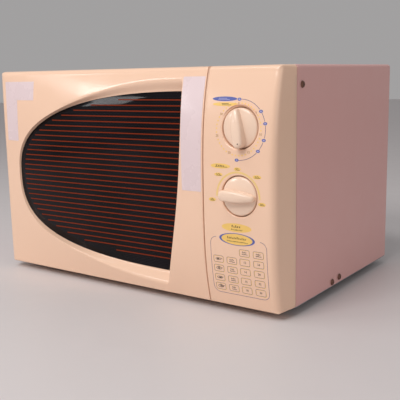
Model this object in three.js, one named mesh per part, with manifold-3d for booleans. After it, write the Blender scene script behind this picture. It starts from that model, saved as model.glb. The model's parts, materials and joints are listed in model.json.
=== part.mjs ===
// Countertop microwave oven with a left-hinged door, two rotary controls and a turntable.
// Millimetres, +X to the right seen from the front, +Y to the back, +Z up.
// Working datum: x = 0 at mid-width, y = 0 at the front edge of the steel cover, z = 0 under the base plate.
// The assembly is moved as a whole at the end, so that the origin lies under the middle of its box.

import * as THREE from 'three';
import { mergeVertices } from 'three/addons/utils/BufferGeometryUtils.js';
import Module from 'manifold-3d';

const wasm = await Module();
wasm.setup();

// ---------- driving dimensions ----------

const WIDTH = 456;
const HEIGHT = 272;
const COVER_DEPTH = 276.6;
const HALF_WIDTH = WIDTH / 2;

const SHEET = 1;                 // steel sheet
const FIT = 0.3;                 // gap between neighbouring pieces
const FOOT_HEIGHT = 9;

const SEAM_X = 131;              // joint between the door and the control panel
const SEAM_GAP = 1.2;
const MOULDING_WALL = 2.5;

const EDGE_DEPTH = 26.85;        // depth of the front mouldings at their top and bottom edges
const BULGE = 14.8;              // further depth at mid-height
const BULGE_Z = 128.8;           // height of the deepest point
const BULGE_HALF_HEIGHT = 136;
const BULGE_POWER = 2.94;
const LEFT_DEPTH = 28.9;         // constant depth along the left edge of the door
const LEFT_FADE = 355;           // width over which the bulge dies away towards the left
const LEFT_FADE_POWER = 3.2;

const CAVITY = { left: -202, right: 105, back: 266, floor: 30, roof: 240 };
const CAVITY_MID_X = (CAVITY.left + CAVITY.right) / 2;
const TURNTABLE_Y = 133;

const PLATE_FRONT = -1.5;        // front plate, from here to half a millimetre before the cover's edge
const PLATE_BACK = -0.5;
const PLATE_RIGHT = HALF_WIDTH - 5.5;   // inside the control panel's side wall

const DOOR_BACK = -4.5;
const HINGE_X = -216;
const HINGE_Y = -18;
const HINGE_PIN_RADIUS = 3;
const HINGE_HOLE_RADIUS = 3.1;

const WINDOW = { x: 108.7, z: 135.9, left: 299.4, up: 108.7, down: 109.9, upPower: 2.36, downPower: 2.84 };
const PANE_LEFT_Y = -30;         // front face of the pane at x = -190
const PANE_SLOPE = 7 / 290;      // it falls back towards the handle
const STRIP_ARC = { x: 97.7, z: 203, radius: 640 };   // left edge of the handle strip

const KNOB_X = 179.3;
const TIMER_REST = -9;           // pointer angles at rest, clockwise from straight up, in degrees
const POWER_REST = 93;
const TIMER_Z = 205.3;
const POWER_Z = 131;
const KNOB_RADIUS = 21.8;
const KNOB_HEIGHT = 12;          // grip above the panel
const GRIP_BELLY = 7.4;          // how far the grip's sides are drawn out
const WELL_RADIUS = 23;
const WELL_DEPTH = 7;

const TRAY_RADIUS = 125;
const TRAY_BOTTOM = CAVITY.floor + 16.6;
const ROLLER_RADIUS = 8;
const ROLLER_TRACK = 88;

// ---------- finishes: colour, roughness, metalness ----------

const CREAM = [0xecc7a4, 0.35, 0];
const CREAM_KNOB = [0xf0d3b6, 0.3, 0];
const PAINT = [0xe6d3c6, 0.4, 0.1];
const PAINT_INSIDE = [0xb9bcc0, 0.45, 0.2];
const ZINC = [0xb4b8bb, 0.4, 0.9];
const STEEL = [0xc9ccce, 0.3, 1];
const ALUMINIUM = [0xcfd2d4, 0.35, 1];
const IRON = [0x5c6066, 0.6, 0.7];
const COPPER = [0xb4683a, 0.4, 0.8];
const PANE = [0x0d090a, 0.08, 0];
const CLEAR = [0xdfe6e8, 0.1, 0];
const GLASS = [0xd6e6e2, 0.06, 0];
const MICA = [0xbfa985, 0.7, 0];
const WHITE_PLASTIC = [0xe8e4da, 0.5, 0];
const BLACK_PLASTIC = [0x17171a, 0.5, 0];
const GREEN_BOARD = [0x4a6b3a, 0.6, 0];
const RUBBER = [0x26262a, 0.9, 0];

// ---------- solids ----------

function solid(geometry) {
  geometry.deleteAttribute('normal');
  geometry.deleteAttribute('uv');
  const merged = mergeVertices(geometry, 1e-4);
  return new wasm.Manifold(new wasm.Mesh({
    numProp: 3,
    vertProperties: new Float32Array(merged.attributes.position.array),
    triVerts: new Uint32Array(merged.index.array),
  }));
}

function cut(body, ...tools) {
  return tools.reduce((result, tool) => result.subtract(tool), body);
}

function join(...bodies) {
  return bodies.reduce((result, body) => result.add(body));
}

function common(...bodies) {
  return bodies.reduce((result, body) => result.intersect(body));
}

function block(x0, x1, y0, y1, z0, z1) {
  const geometry = new THREE.BoxGeometry(x1 - x0, y1 - y0, z1 - z0);
  geometry.translate((x0 + x1) / 2, (y0 + y1) / 2, (z0 + z1) / 2);
  return solid(geometry);
}

// A cylinder along 'x', 'y' or 'z' between two stations; a and b are the other two coordinates in order.
function rod(axis, radius, a, b, from, to, sides = 20) {
  const geometry = new THREE.CylinderGeometry(radius, radius, to - from, sides);
  const middle = (from + to) / 2;
  if (axis === 'x') {
    geometry.rotateZ(-Math.PI / 2).translate(middle, a, b);
  } else if (axis === 'y') {
    geometry.translate(a, middle, b);
  } else {
    geometry.rotateX(Math.PI / 2).translate(a, b, middle);
  }
  return solid(geometry);
}

// An outline drawn across 'x' (y, z), 'y' (x, z) or 'z' (x, y), given thickness between two stations.
function extrude(axis, shape, from, to, curveSegments = 6) {
  const geometry = new THREE.ExtrudeGeometry(shape, { depth: to - from, bevelEnabled: false, curveSegments });
  if (axis === 'x') {
    const basis = new THREE.Matrix4().makeBasis(
      new THREE.Vector3(0, 1, 0), new THREE.Vector3(0, 0, 1), new THREE.Vector3(1, 0, 0));
    geometry.applyMatrix4(basis).translate(from, 0, 0);
  } else if (axis === 'y') {
    geometry.rotateX(Math.PI / 2).translate(0, to, 0);
  } else {
    geometry.translate(0, 0, from);
  }
  return solid(geometry);
}

// A profile of [radius, height] pairs turned about a line along 'x', '-y' or 'z' through (x, y, z).
function turn(axis, profile, x, y, z, sides = 24) {
  const points = profile.map(([radius, height]) => new THREE.Vector2(radius, height));
  const geometry = new THREE.LatheGeometry(points, sides);
  if (axis === 'x') {
    geometry.rotateZ(-Math.PI / 2);
  } else if (axis === '-y') {
    geometry.rotateZ(Math.PI);
  } else {
    geometry.rotateX(Math.PI / 2);
  }
  geometry.translate(x, y, z);
  return solid(geometry);
}

// An extruded sheet with openings cut through it.
function pierced(axis, outline, holes, from, to, curveSegments = 6) {
  const tools = holes.map((hole) => extrude(axis, hole, from - 1, to + 1, curveSegments));
  return cut(extrude(axis, outline, from, to, curveSegments), ...tools);
}

function roundedRectangle(a0, a1, b0, b1, radius) {
  const shape = new THREE.Shape();
  shape.moveTo(a0 + radius, b0);
  shape.lineTo(a1 - radius, b0);
  shape.absarc(a1 - radius, b0 + radius, radius, -Math.PI / 2, 0);
  shape.lineTo(a1, b1 - radius);
  shape.absarc(a1 - radius, b1 - radius, radius, 0, Math.PI / 2);
  shape.lineTo(a0 + radius, b1);
  shape.absarc(a0 + radius, b1 - radius, radius, Math.PI / 2, Math.PI);
  shape.lineTo(a0, b0 + radius);
  shape.absarc(a0 + radius, b0 + radius, radius, Math.PI, 1.5 * Math.PI);
  return shape;
}

function rectangle(a0, a1, b0, b1) {
  return new THREE.Shape([[a0, b0], [a1, b0], [a1, b1], [a0, b1]].map(([a, b]) => new THREE.Vector2(a, b)));
}

function circle(a, b, radius) {
  const shape = new THREE.Shape();
  shape.absarc(a, b, radius, 0, 2 * Math.PI);
  return shape;
}

// Rows and columns of equal slots, as holes for a sheet.
function slotGrid(a0, b0, columns, rows, pitchA, pitchB, length, width) {
  const slots = [];
  for (let column = 0; column < columns; column += 1) {
    for (let row = 0; row < rows; row += 1) {
      const a = a0 + column * pitchA;
      const b = b0 + row * pitchB;
      slots.push(rectangle(a, a + length, b, b + width));
    }
  }
  return slots;
}

// A closed skin between two rings of matching points at different depths y, front ring first.
function loft(rings) {
  const count = rings[0].outline.length;
  const positions = [];
  const index = [];
  for (const { outline, y } of rings) {
    for (const point of outline) {
      positions.push(point.x, typeof y === 'function' ? y(point.x) : y, point.y);
    }
  }
  for (let ring = 0; ring < rings.length - 1; ring += 1) {
    for (let i = 0; i < count; i += 1) {
      const a = ring * count + i;
      const b = ring * count + ((i + 1) % count);
      index.push(a, a + count, b + count, a, b + count, b);
    }
  }
  const last = (rings.length - 1) * count;
  for (const [a, b, c] of THREE.ShapeUtils.triangulateShape(rings[0].outline, [])) {
    index.push(a, b, c);
    index.push(last + a, last + c, last + b);
  }
  const geometry = new THREE.BufferGeometry();
  geometry.setAttribute('position', new THREE.Float32BufferAttribute(positions, 3));
  geometry.setIndex(index);
  return solid(geometry);
}

const assembly = new THREE.Group();

function place(name, body, [color, roughness, metalness]) {
  const { vertProperties, triVerts } = body.getMesh();
  const geometry = new THREE.BufferGeometry();
  geometry.setAttribute('position', new THREE.BufferAttribute(new Float32Array(vertProperties), 3));
  geometry.setIndex(new THREE.BufferAttribute(new Uint32Array(triVerts), 1));
  geometry.computeVertexNormals();
  const mesh = new THREE.Mesh(geometry, new THREE.MeshStandardMaterial({ color, roughness, metalness }));
  mesh.name = name;
  assembly.add(mesh);
}

// ---------- front surface shared by the door and the control panel ----------

function fullDepth(z) {
  return EDGE_DEPTH + BULGE * (1 - Math.abs((z - BULGE_Z) / BULGE_HALF_HEIGHT) ** BULGE_POWER);
}

function frontY(x, z) {
  const away = Math.max(0, SEAM_X - x) / LEFT_FADE;
  const share = Math.max(0, 1 - away ** LEFT_FADE_POWER);
  return -(share * fullDepth(z) + (1 - share) * LEFT_DEPTH);
}

function steps(from, to, count) {
  return Array.from({ length: count + 1 }, (_, i) => from + ((to - from) * i) / count);
}

// A slab with the curved front, set back by inset, and a flat back.
function curvedSlab(x0, x1, columns, inset, backY) {
  const xs = steps(x0, x1, columns);
  const zs = steps(inset - 1, HEIGHT + 1 - inset, 9);
  const positions = [];
  for (const depth of [(x, z) => frontY(x, z) + inset, () => backY]) {
    for (const z of zs) {
      for (const x of xs) {
        positions.push(x, depth(x, z), z);
      }
    }
  }
  const width = xs.length;
  const layer = width * zs.length;
  const index = [];
  for (let row = 0; row < zs.length - 1; row += 1) {
    for (let column = 0; column < columns; column += 1) {
      const a = row * width + column;
      index.push(a, a + 1, a + 1 + width, a, a + 1 + width, a + width);
      const b = layer + a;
      index.push(b, b + 1 + width, b + 1, b, b + width, b + 1 + width);
    }
  }
  const bottom = steps(0, columns, columns);
  const right = steps(0, zs.length - 1, zs.length - 1).map((row) => row * width + columns);
  const top = bottom.map((column) => (zs.length - 1) * width + column).reverse();
  const left = right.map((corner) => corner - columns).reverse();
  for (const edge of [bottom, right, top, left]) {
    for (let i = 0; i < edge.length - 1; i += 1) {
      const [p, q] = [edge[i], edge[i + 1]];
      index.push(p, p + layer, q + layer, p, q + layer, q);
    }
  }
  const geometry = new THREE.BufferGeometry();
  geometry.setAttribute('position', new THREE.Float32BufferAttribute(positions, 3));
  geometry.setIndex(index);
  return solid(geometry);
}

// Side view of a moulding: rounded top and bottom front edges.
function sideOutline(inset, backY) {
  const [topRadius, bottomRadius] = [6, 2];
  const [z0, z1] = [inset, HEIGHT - inset];
  const shape = new THREE.Shape();
  shape.moveTo(backY, z0);
  shape.lineTo(backY, z1);
  shape.lineTo(-EDGE_DEPTH + topRadius + 1.5, z1);
  shape.quadraticCurveTo(-EDGE_DEPTH - 1, z1, -EDGE_DEPTH - 2, z1 - topRadius);
  shape.lineTo(-EDGE_DEPTH - BULGE - 2, z1 - 3 * topRadius);
  shape.lineTo(-EDGE_DEPTH - BULGE - 2, z0 + 2 * bottomRadius);
  shape.lineTo(-EDGE_DEPTH - 3, z0 + bottomRadius);
  shape.lineTo(-EDGE_DEPTH - 1, z0);
  return shape;
}

// Plan view of the whole front: drafted sides and rounded front corners.
// The left rear corner is cut back to clear the hinge.
function planOutline(x0, x1, inset, backY) {
  const draft = 4;
  const leftDraft = 2;
  const radius = 9;
  const shape = new THREE.Shape();
  if (x0 < 0) {
    const left = x0 + inset;
    const corner = left + leftDraft;
    shape.moveTo(left + 8, backY);
    shape.quadraticCurveTo(left, backY, left, backY - 9);
    shape.lineTo(corner, -LEFT_DEPTH + radius + inset);
    shape.quadraticCurveTo(corner, -LEFT_DEPTH + inset, corner + radius, -LEFT_DEPTH + inset);
    shape.lineTo(left + 60, -EDGE_DEPTH - BULGE - 2);
    shape.lineTo(x1 - inset, -EDGE_DEPTH - BULGE - 2);
    shape.lineTo(x1 - inset, backY);
  } else {
    const right = x1 - inset;
    const corner = right - draft;
    shape.moveTo(x0 + inset, backY);
    shape.lineTo(x0 + inset, -EDGE_DEPTH - BULGE - 2);
    shape.lineTo(corner - radius - 1, -EDGE_DEPTH - BULGE - 2 + inset);
    shape.quadraticCurveTo(corner, -EDGE_DEPTH - BULGE + inset, corner + 1, -EDGE_DEPTH + inset);
    shape.lineTo(right, backY);
  }
  return shape;
}

function frontMoulding(x0, x1, columns, inset, backY) {
  return common(
    curvedSlab(x0 + inset, x1 - inset, columns, inset, backY),
    extrude('x', sideOutline(inset, backY), x0, x1),
    extrude('z', planOutline(x0, x1, inset, backY), -2, HEIGHT + 2),
    extrude('y', roundedRectangle(x0 + inset, x1 - inset, inset, HEIGHT - inset, x0 < 0 ? 7 : 4), -60, backY),
  );
}

// ---------- window outline ----------

function stripEdgeX(z) {
  return STRIP_ARC.x - (STRIP_ARC.z - z) ** 2 / (2 * STRIP_ARC.radius);
}

// Rounded D: half an egg to the left, closed by the slanting edge of the handle strip.
// scoop widens it at the top and bottom right, where a dished surround runs out to the surface.
function windowOutline(offset, scoop) {
  const points = [];
  const segments = 22;
  for (let i = 0; i <= segments; i += 1) {
    const angle = Math.PI / 2 + (Math.PI * i) / segments;
    const upper = i <= segments / 2;
    const power = 2 / (upper ? WINDOW.upPower : WINDOW.downPower);
    const across = Math.abs(Math.cos(angle));
    const x = WINDOW.x - WINDOW.left * across ** power - offset * across;
    const height = (upper ? WINDOW.up : WINDOW.down) * Math.abs(Math.sin(angle)) ** power;
    const widening = scoop * THREE.MathUtils.smoothstep(x, -130, 60);
    const z = WINDOW.z + (upper ? 1 : -1) * (height + offset * Math.abs(Math.sin(angle)) + widening);
    points.push(new THREE.Vector2(x, z));
  }
  return points.map((point) => {
    const limit = stripEdgeX(point.y) + offset;
    return new THREE.Vector2(Math.min(point.x, limit), point.y);
  });
}

// Closes a window outline along the strip's edge with a few points of its arc.
function closedWindow(offset, scoop) {
  const outline = windowOutline(offset, scoop).filter((point) => point.x < stripEdgeX(point.y) + offset - 1);
  const top = outline[0].y;
  const bottom = outline[outline.length - 1].y;
  const edge = steps(bottom, top, 5).map((z) => new THREE.Vector2(stripEdgeX(z) + offset, z));
  return [...outline, ...edge];
}

function paneY(x) {
  return PANE_LEFT_Y + PANE_SLOPE * (x + 190);
}

// ---------- cabinet ----------

function outerCover() {
  const outline = new THREE.Shape();
  const bend = 4;
  const inner = HALF_WIDTH - SHEET;
  const top = HEIGHT;
  const bottom = 2;
  outline.moveTo(-HALF_WIDTH, bottom);
  outline.lineTo(-inner, bottom);
  outline.lineTo(-inner, top - bend);
  outline.absarc(-inner + bend - SHEET, top - bend, bend - SHEET, Math.PI, Math.PI / 2, true);
  outline.lineTo(inner - bend + SHEET, top - SHEET);
  outline.absarc(inner - bend + SHEET, top - bend, bend - SHEET, Math.PI / 2, 0, true);
  outline.lineTo(inner, bottom);
  outline.lineTo(HALF_WIDTH, bottom);
  outline.lineTo(HALF_WIDTH, top - bend);
  outline.absarc(HALF_WIDTH - bend, top - bend, bend, 0, Math.PI / 2);
  outline.lineTo(-HALF_WIDTH + bend, top);
  outline.absarc(-HALF_WIDTH + bend, top - bend, bend, Math.PI / 2, Math.PI);
  const wrap = extrude('y', outline, 0, COVER_DEPTH, 4);
  const lipWidth = 7;
  const lip = cut(
    block(-inner - 0.5, inner + 0.5, COVER_DEPTH - SHEET, COVER_DEPTH, bottom, top - SHEET - 3),
    block(-inner + lipWidth, inner - lipWidth, 0, COVER_DEPTH + 5, 0, top - SHEET - lipWidth));
  const topLip = block(
    -inner + bend, inner - bend, COVER_DEPTH - SHEET, COVER_DEPTH, top - SHEET - 4, top - 0.5);
  const body = join(wrap, lip, topLip);
  const holes = SCREWS.map(({ side, y, z }) =>
    rod('x', 2.2, y, z, side * HALF_WIDTH - 3, side * HALF_WIDTH + 3, 12));
  return cut(body, ...holes);
}

// Screws that hold the cover, on both sides: one high at the front, two low at the middle.
const SCREWS = [-1, 1].flatMap((side) => [
  { side, y: 11.2, z: 250.5, label: 'front_top' },
  { side, y: 114.4, z: 8.8, label: 'middle_low' },
  { side, y: 94, z: 7, label: 'forward_low' },
]);

function coverScrew({ side, y, z }) {
  const profile = [[0, -8], [1.9, -8], [1.9, 0.3], [4.2, 0.3], [3.2, 1.9], [0, 2.2]];
  const screw = turn('x', profile, 0, 0, 0, 12);
  const cross = join(block(1.3, 3, -0.4, 0.4, -2, 2), block(1.3, 3, -2, 2, -0.4, 0.4));
  const placed = cut(screw, cross);
  const turned = side > 0 ? placed : placed.rotate([0, 0, 180]);
  return turned.translate([side * HALF_WIDTH, y, z]);
}

const FEET = [[-190, 28], [190, 28], [-190, 250], [190, 250]];

function basePlate() {
  const inner = HALF_WIDTH - SHEET - 0.5;
  const sheet = pierced('z', rectangle(-inner, inner, 1, COVER_DEPTH - 4), [
    ...FEET.map(([x, y]) => circle(x, y, 3.3)),
    ...slotGrid(-185, 62, 1, 4, 0, 12, 60, 4),
    ...slotGrid(120, 175, 1, 5, 0, 12, 70, 4),
    circle(CAVITY_MID_X, TURNTABLE_Y, 32),
  ], 0, SHEET, 4);
  const flange = 14;
  const sideWall = (x) => cut(
    block(x, x + SHEET, 1, COVER_DEPTH - 4, 0, flange),
    ...SCREWS.filter(({ z }) => z < 20).map(({ y, z }) => rod('x', 2.2, y, z, x - 1, x + 2, 12)));
  return join(sheet, sideWall(-inner), sideWall(inner - SHEET));
}

function foot([x, y]) {
  const profile = [[0, -FOOT_HEIGHT], [11, -FOOT_HEIGHT], [13, -FIT], [3, -FIT], [3, 5], [0, 5]];
  return turn('z', profile, x, y, 0, 16);
}

const FAN = { x: 167, z: 157, radius: 48 };

function rearPanel() {
  const inner = HALF_WIDTH - SHEET - 0.5;
  return pierced('y', roundedRectangle(-inner, inner, SHEET + FIT, HEIGHT - SHEET - FIT, 4), [
    ...slotGrid(FAN.x - 42, FAN.z - 36, 2, 6, 46, 13, 38, 5),
    ...slotGrid(-190, 190, 2, 3, 48, 13, 40, 5),
    circle(GLAND.x, GLAND.z, GLAND.hole),
  ], COVER_DEPTH - SHEET - FIT - SHEET, COVER_DEPTH - SHEET - FIT, 4);
}

const GLAND = { x: 200, z: 32, hole: 9 };

// Bush in the rear panel where the supply lead would enter; the lead itself is not part of the model.
function cordGland() {
  const back = COVER_DEPTH - SHEET - FIT;
  const flange = rod('y', 12, GLAND.x, GLAND.z, back + FIT, back + 3);
  const neck = rod('y', GLAND.hole - 1.2, GLAND.x, GLAND.z, back - 8, back + 1);
  const collar = rod('y', 11, GLAND.x, GLAND.z, back - 5, back - SHEET - FIT);
  const bore = rod('y', 4.2, GLAND.x, GLAND.z, back - 20, back + 20, 16);
  return cut(join(flange, neck, collar), bore);
}

const APERTURE = { y0: 105, y1: 165, z0: 156, z1: 200 };
const COUPLER_HOLE = 8;
const LAMP = { y: 60, z: 216 };

function cavityShell() {
  const { left, right, back, floor, roof } = CAVITY;
  const start = PLATE_BACK + FIT;
  const outside = block(left - SHEET, right + SHEET, start, back + SHEET, floor - SHEET, roof + SHEET);
  const inside = block(left, right, -10, back, floor, roof);
  const { y0, y1, z0, z1 } = APERTURE;
  const lampPorts = [-8, 0, 8].map((dz) =>
    block(right - 3, right + 3, LAMP.y - 10, LAMP.y + 10, LAMP.z + dz - 2, LAMP.z + dz + 2));
  const vents = steps(40, 104, 4).map((y) => block(left - 3, left + 3, y, y + 10, 205, 208));
  return cut(outside, inside, block(right - 3, right + 3, y0, y1, z0, z1),
    rod('z', COUPLER_HOLE, CAVITY_MID_X, TURNTABLE_Y, floor - 5, floor + 5), ...lampPorts, ...vents);
}

const LATCH_X = 116.5;
const HOOKS_Z = [66, 196];
const HOOK_HEIGHT = 9;

function frontPlate() {
  const { left, right, floor, roof } = CAVITY;
  return pierced('y', rectangle(-HALF_WIDTH + 2.5, PLATE_RIGHT, 2.8, HEIGHT - 2.8), [
    roundedRectangle(left, right, floor, roof, 8),
    rectangle(140, 220, 14, 260),
    ...HOOKS_Z.map((z) => rectangle(LATCH_X - 5.5, LATCH_X + 7, z - 8, z + HOOK_HEIGHT + 10)),
    ...[HINGE_UPPER, HINGE_LOWER].map(({ ear }) =>
      rectangle(HINGE_X - 6.5, HINGE_X + 6.5, ear - 1.6, ear + 1.6)),
  ], PLATE_FRONT, PLATE_BACK);
}

// ---------- hinges ----------

const HINGE_UPPER = { ear: 263, direction: -1 };
const HINGE_LOWER = { ear: 9, direction: 1 };
const TAB_OFFSET = 6;            // door tab, inward from the bracket's ear

function hingeBracket({ ear, direction }) {
  const web = block(HINGE_X - 8, HINGE_X + 8, PLATE_BACK + FIT, PLATE_BACK + FIT + 1.2,
    Math.min(ear, ear + direction * 26), Math.max(ear, ear + direction * 26));
  const arm = block(HINGE_X - 6, HINGE_X + 6, HINGE_Y, PLATE_BACK + FIT + 1, ear - 1, ear + 1);
  const nose = rod('z', 6, HINGE_X, HINGE_Y, ear - 1, ear + 1, 20);
  const bore = rod('z', HINGE_HOLE_RADIUS, HINGE_X, HINGE_Y, ear - 3, ear + 3);
  const slot = block(HINGE_X - 10, HINGE_X - 6, -2, 3, ear - 5, ear + 5);
  return cut(join(web, arm, nose), bore, slot);
}

function hingePin({ ear, direction }) {
  const tip = ear + direction * 12;
  const shank = rod('z', HINGE_PIN_RADIUS, HINGE_X, HINGE_Y, Math.min(ear - direction * 1.4, tip),
    Math.max(ear - direction * 1.4, tip));
  const headStart = ear - direction * 1.3;
  const headEnd = ear - direction * 3;
  const head = rod('z', 4.8, HINGE_X, HINGE_Y, Math.min(headStart, headEnd), Math.max(headStart, headEnd));
  return join(shank, head);
}

// ---------- door ----------

const DOOR_RIGHT = SEAM_X - SEAM_GAP / 2;
const PANEL_LEFT = SEAM_X + SEAM_GAP / 2;

function doorOuter() {
  const shell = frontMoulding(-HALF_WIDTH, DOOR_RIGHT, 6, 0, DOOR_BACK);
  const hollow = frontMoulding(-HALF_WIDTH, DOOR_RIGHT, 6, MOULDING_WALL, DOOR_BACK + 1);
  const collar = extrude('y', new THREE.Shape(closedWindow(3, 17)), -60, 5);
  const pocketFloor = block(-HALF_WIDTH, DOOR_RIGHT, -20, 10, -5, HEIGHT + 5);
  const pocket = join(cut(hollow, collar), common(hollow, pocketFloor));
  const dish = loft([
    { outline: closedWindow(0, 17), y: -60 },
    { outline: closedWindow(0, 17), y: -30.5 },
    { outline: closedWindow(0, 0), y: (x) => paneY(x) - 0.2 },
    { outline: closedWindow(0, 0), y: 5 },
  ]);
  const notches = [HINGE_UPPER, HINGE_LOWER].map(({ ear }) =>
    block(-HALF_WIDTH - 2, HINGE_X, HINGE_Y - 9, 0, ear - 2.6, ear + 2.6));
  return cut(shell, pocket, dish, ...notches);
}

function doorWindow() {
  const outline = closedWindow(-FIT, 0);
  return loft([{ outline, y: paneY }, { outline, y: (x) => paneY(x) + 3 }]);
}

const DOOR_PANEL = { left: -206, right: 127, low: 13.5, high: 258.5, back: -7.6, front: -17 };
const SCREEN = { left: -178, right: 92, low: 46, high: 226 };

function hookSlots(lower, upper) {
  return HOOKS_Z.map((z) => rectangle(LATCH_X - 3.5, LATCH_X + 3.5, z - lower, z + HOOK_HEIGHT + upper));
}

// Pressed steel panel of the door, with a rim that stiffens it and tabs that turn on the hinge pins.
function doorPanel() {
  const { left, right, low, high, back, front } = DOOR_PANEL;
  const plate = pierced('y', rectangle(left, right, low, high), [
    roundedRectangle(SCREEN.left, SCREEN.right, SCREEN.low, SCREEN.high, 10),
    ...hookSlots(3, 8),
  ], back - SHEET, back);
  const rim = cut(block(left, right, front, back, low, high),
    block(left + SHEET, right - SHEET, front - 5, back + 5, low + SHEET, high - SHEET));
  const tabs = [HINGE_UPPER, HINGE_LOWER].map(({ ear, direction }) => {
    const z = ear + direction * TAB_OFFSET;
    const tab = new THREE.Shape();
    tab.moveTo(left + 2, back - 2);
    tab.lineTo(HINGE_X, HINGE_Y + 6);
    tab.absarc(HINGE_X, HINGE_Y, 6, Math.PI / 2, 1.5 * Math.PI);
    tab.lineTo(left + 2, front - 2);
    return cut(extrude('z', tab, z - 0.75, z + 0.75),
      rod('z', HINGE_HOLE_RADIUS, HINGE_X, HINGE_Y, z - 3, z + 3));
  });
  const tabRoots = [HINGE_UPPER, HINGE_LOWER].map(({ ear, direction }) => {
    const z = ear + direction * TAB_OFFSET;
    return block(left, left + 6, front, back, z - 0.75, z + 0.75);
  });
  return join(plate, rim, ...tabs, ...tabRoots);
}

// Perforated sheet that keeps the microwaves in while the food stays visible.
function doorScreen() {
  const y = DOOR_PANEL.back - SHEET - FIT;
  const margin = 8;
  return block(
    SCREEN.left - margin, SCREEN.right + margin, y - 0.6, y, SCREEN.low - margin, SCREEN.high + margin);
}

function doorChokeCover() {
  return pierced('y', roundedRectangle(-208, 127.4, 11.5, 260, 6), [
    roundedRectangle(SCREEN.left - 2, SCREEN.right + 2, SCREEN.low - 2, SCREEN.high + 2, 10),
    ...hookSlots(3, 8),
  ], DOOR_PANEL.back + FIT, DOOR_PANEL.back + FIT + 2.2);
}

function doorInnerSheet() {
  const lap = 1.6;
  const outline = roundedRectangle(
    SCREEN.left - lap, SCREEN.right + lap, SCREEN.low - lap, SCREEN.high + lap, 9);
  return extrude('y', outline, DOOR_PANEL.back + FIT, DOOR_PANEL.back + FIT + 1);
}

const LATCH_BAR_Y = -14;
const SPRING = { x: LATCH_X, y: -12.4, z0: 34, z1: 52.8, radius: 2.6, wire: 0.7, turns: 6 };

// One moulded lever with a hook at each end; it rides up as the hooks pass the latch board.
function latchLever() {
  const low = HOOKS_Z[0] - 12;
  const high = HOOKS_Z[1] + HOOK_HEIGHT;
  const bar = block(LATCH_X - 2.5, LATCH_X + 2.5, LATCH_BAR_Y - 2, LATCH_BAR_Y + 4, low, high);
  const hooks = HOOKS_Z.map((z) => {
    const profile = new THREE.Shape([
      [LATCH_BAR_Y, z], [16, z], [16, z - 4], [20, z - 4], [23, z + 4], [23, z + HOOK_HEIGHT],
      [LATCH_BAR_Y, z + HOOK_HEIGHT],
    ].map(([y, height]) => new THREE.Vector2(y, height)));
    return extrude('x', profile, LATCH_X - 2.2, LATCH_X + 2.2);
  });
  return join(bar, ...hooks);
}

class Helix extends THREE.Curve {
  getPoint(t, target = new THREE.Vector3()) {
    const angle = 2 * Math.PI * SPRING.turns * t;
    const z = SPRING.z0 + (SPRING.z1 - SPRING.z0) * t;
    const x = SPRING.x + SPRING.radius * Math.cos(angle);
    return target.set(x, SPRING.y + SPRING.radius * Math.sin(angle), z);
  }
}

function latchSpring() {
  const section = new THREE.Shape();
  const sides = 4;
  for (let i = 0; i < sides; i += 1) {
    const angle = (2 * Math.PI * i) / sides;
    const point = [SPRING.wire * Math.cos(angle), SPRING.wire * Math.sin(angle)];
    section[i === 0 ? 'moveTo' : 'lineTo'](...point);
  }
  const options = { steps: 48, bevelEnabled: false, extrudePath: new Helix() };
  return solid(new THREE.ExtrudeGeometry(section, options));
}

// ---------- control panel and knobs ----------

const KNOBS = [{ z: TIMER_Z }, { z: POWER_Z }];

function wellFloorY(z) {
  return frontY(KNOB_X, z) + WELL_DEPTH;
}

function controlPanel() {
  const shell = frontMoulding(PANEL_LEFT, HALF_WIDTH, 1, 0, -FIT);
  const hollow = frontMoulding(PANEL_LEFT, HALF_WIDTH, 1, MOULDING_WALL, 2);
  const cups = KNOBS.map(({ z }) => rod('y', WELL_RADIUS + 2.5, KNOB_X, z, -50, wellFloorY(z) + 2.5, 28));
  const wells = KNOBS.map(({ z }) => rod('y', WELL_RADIUS, KNOB_X, z, -60, wellFloorY(z), 28));
  const shaftHoles = KNOBS.map(({ z }) => rod('y', 5, KNOB_X, z, -60, 0, 12));
  const plateRelief = block(PANEL_LEFT - 1, PANEL_LEFT + 5, PLATE_FRONT - FIT, 1, 0.5, HEIGHT - 0.5);
  return cut(shell, cut(hollow, ...cups), ...wells, ...shaftHoles, plateRelief);
}

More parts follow.
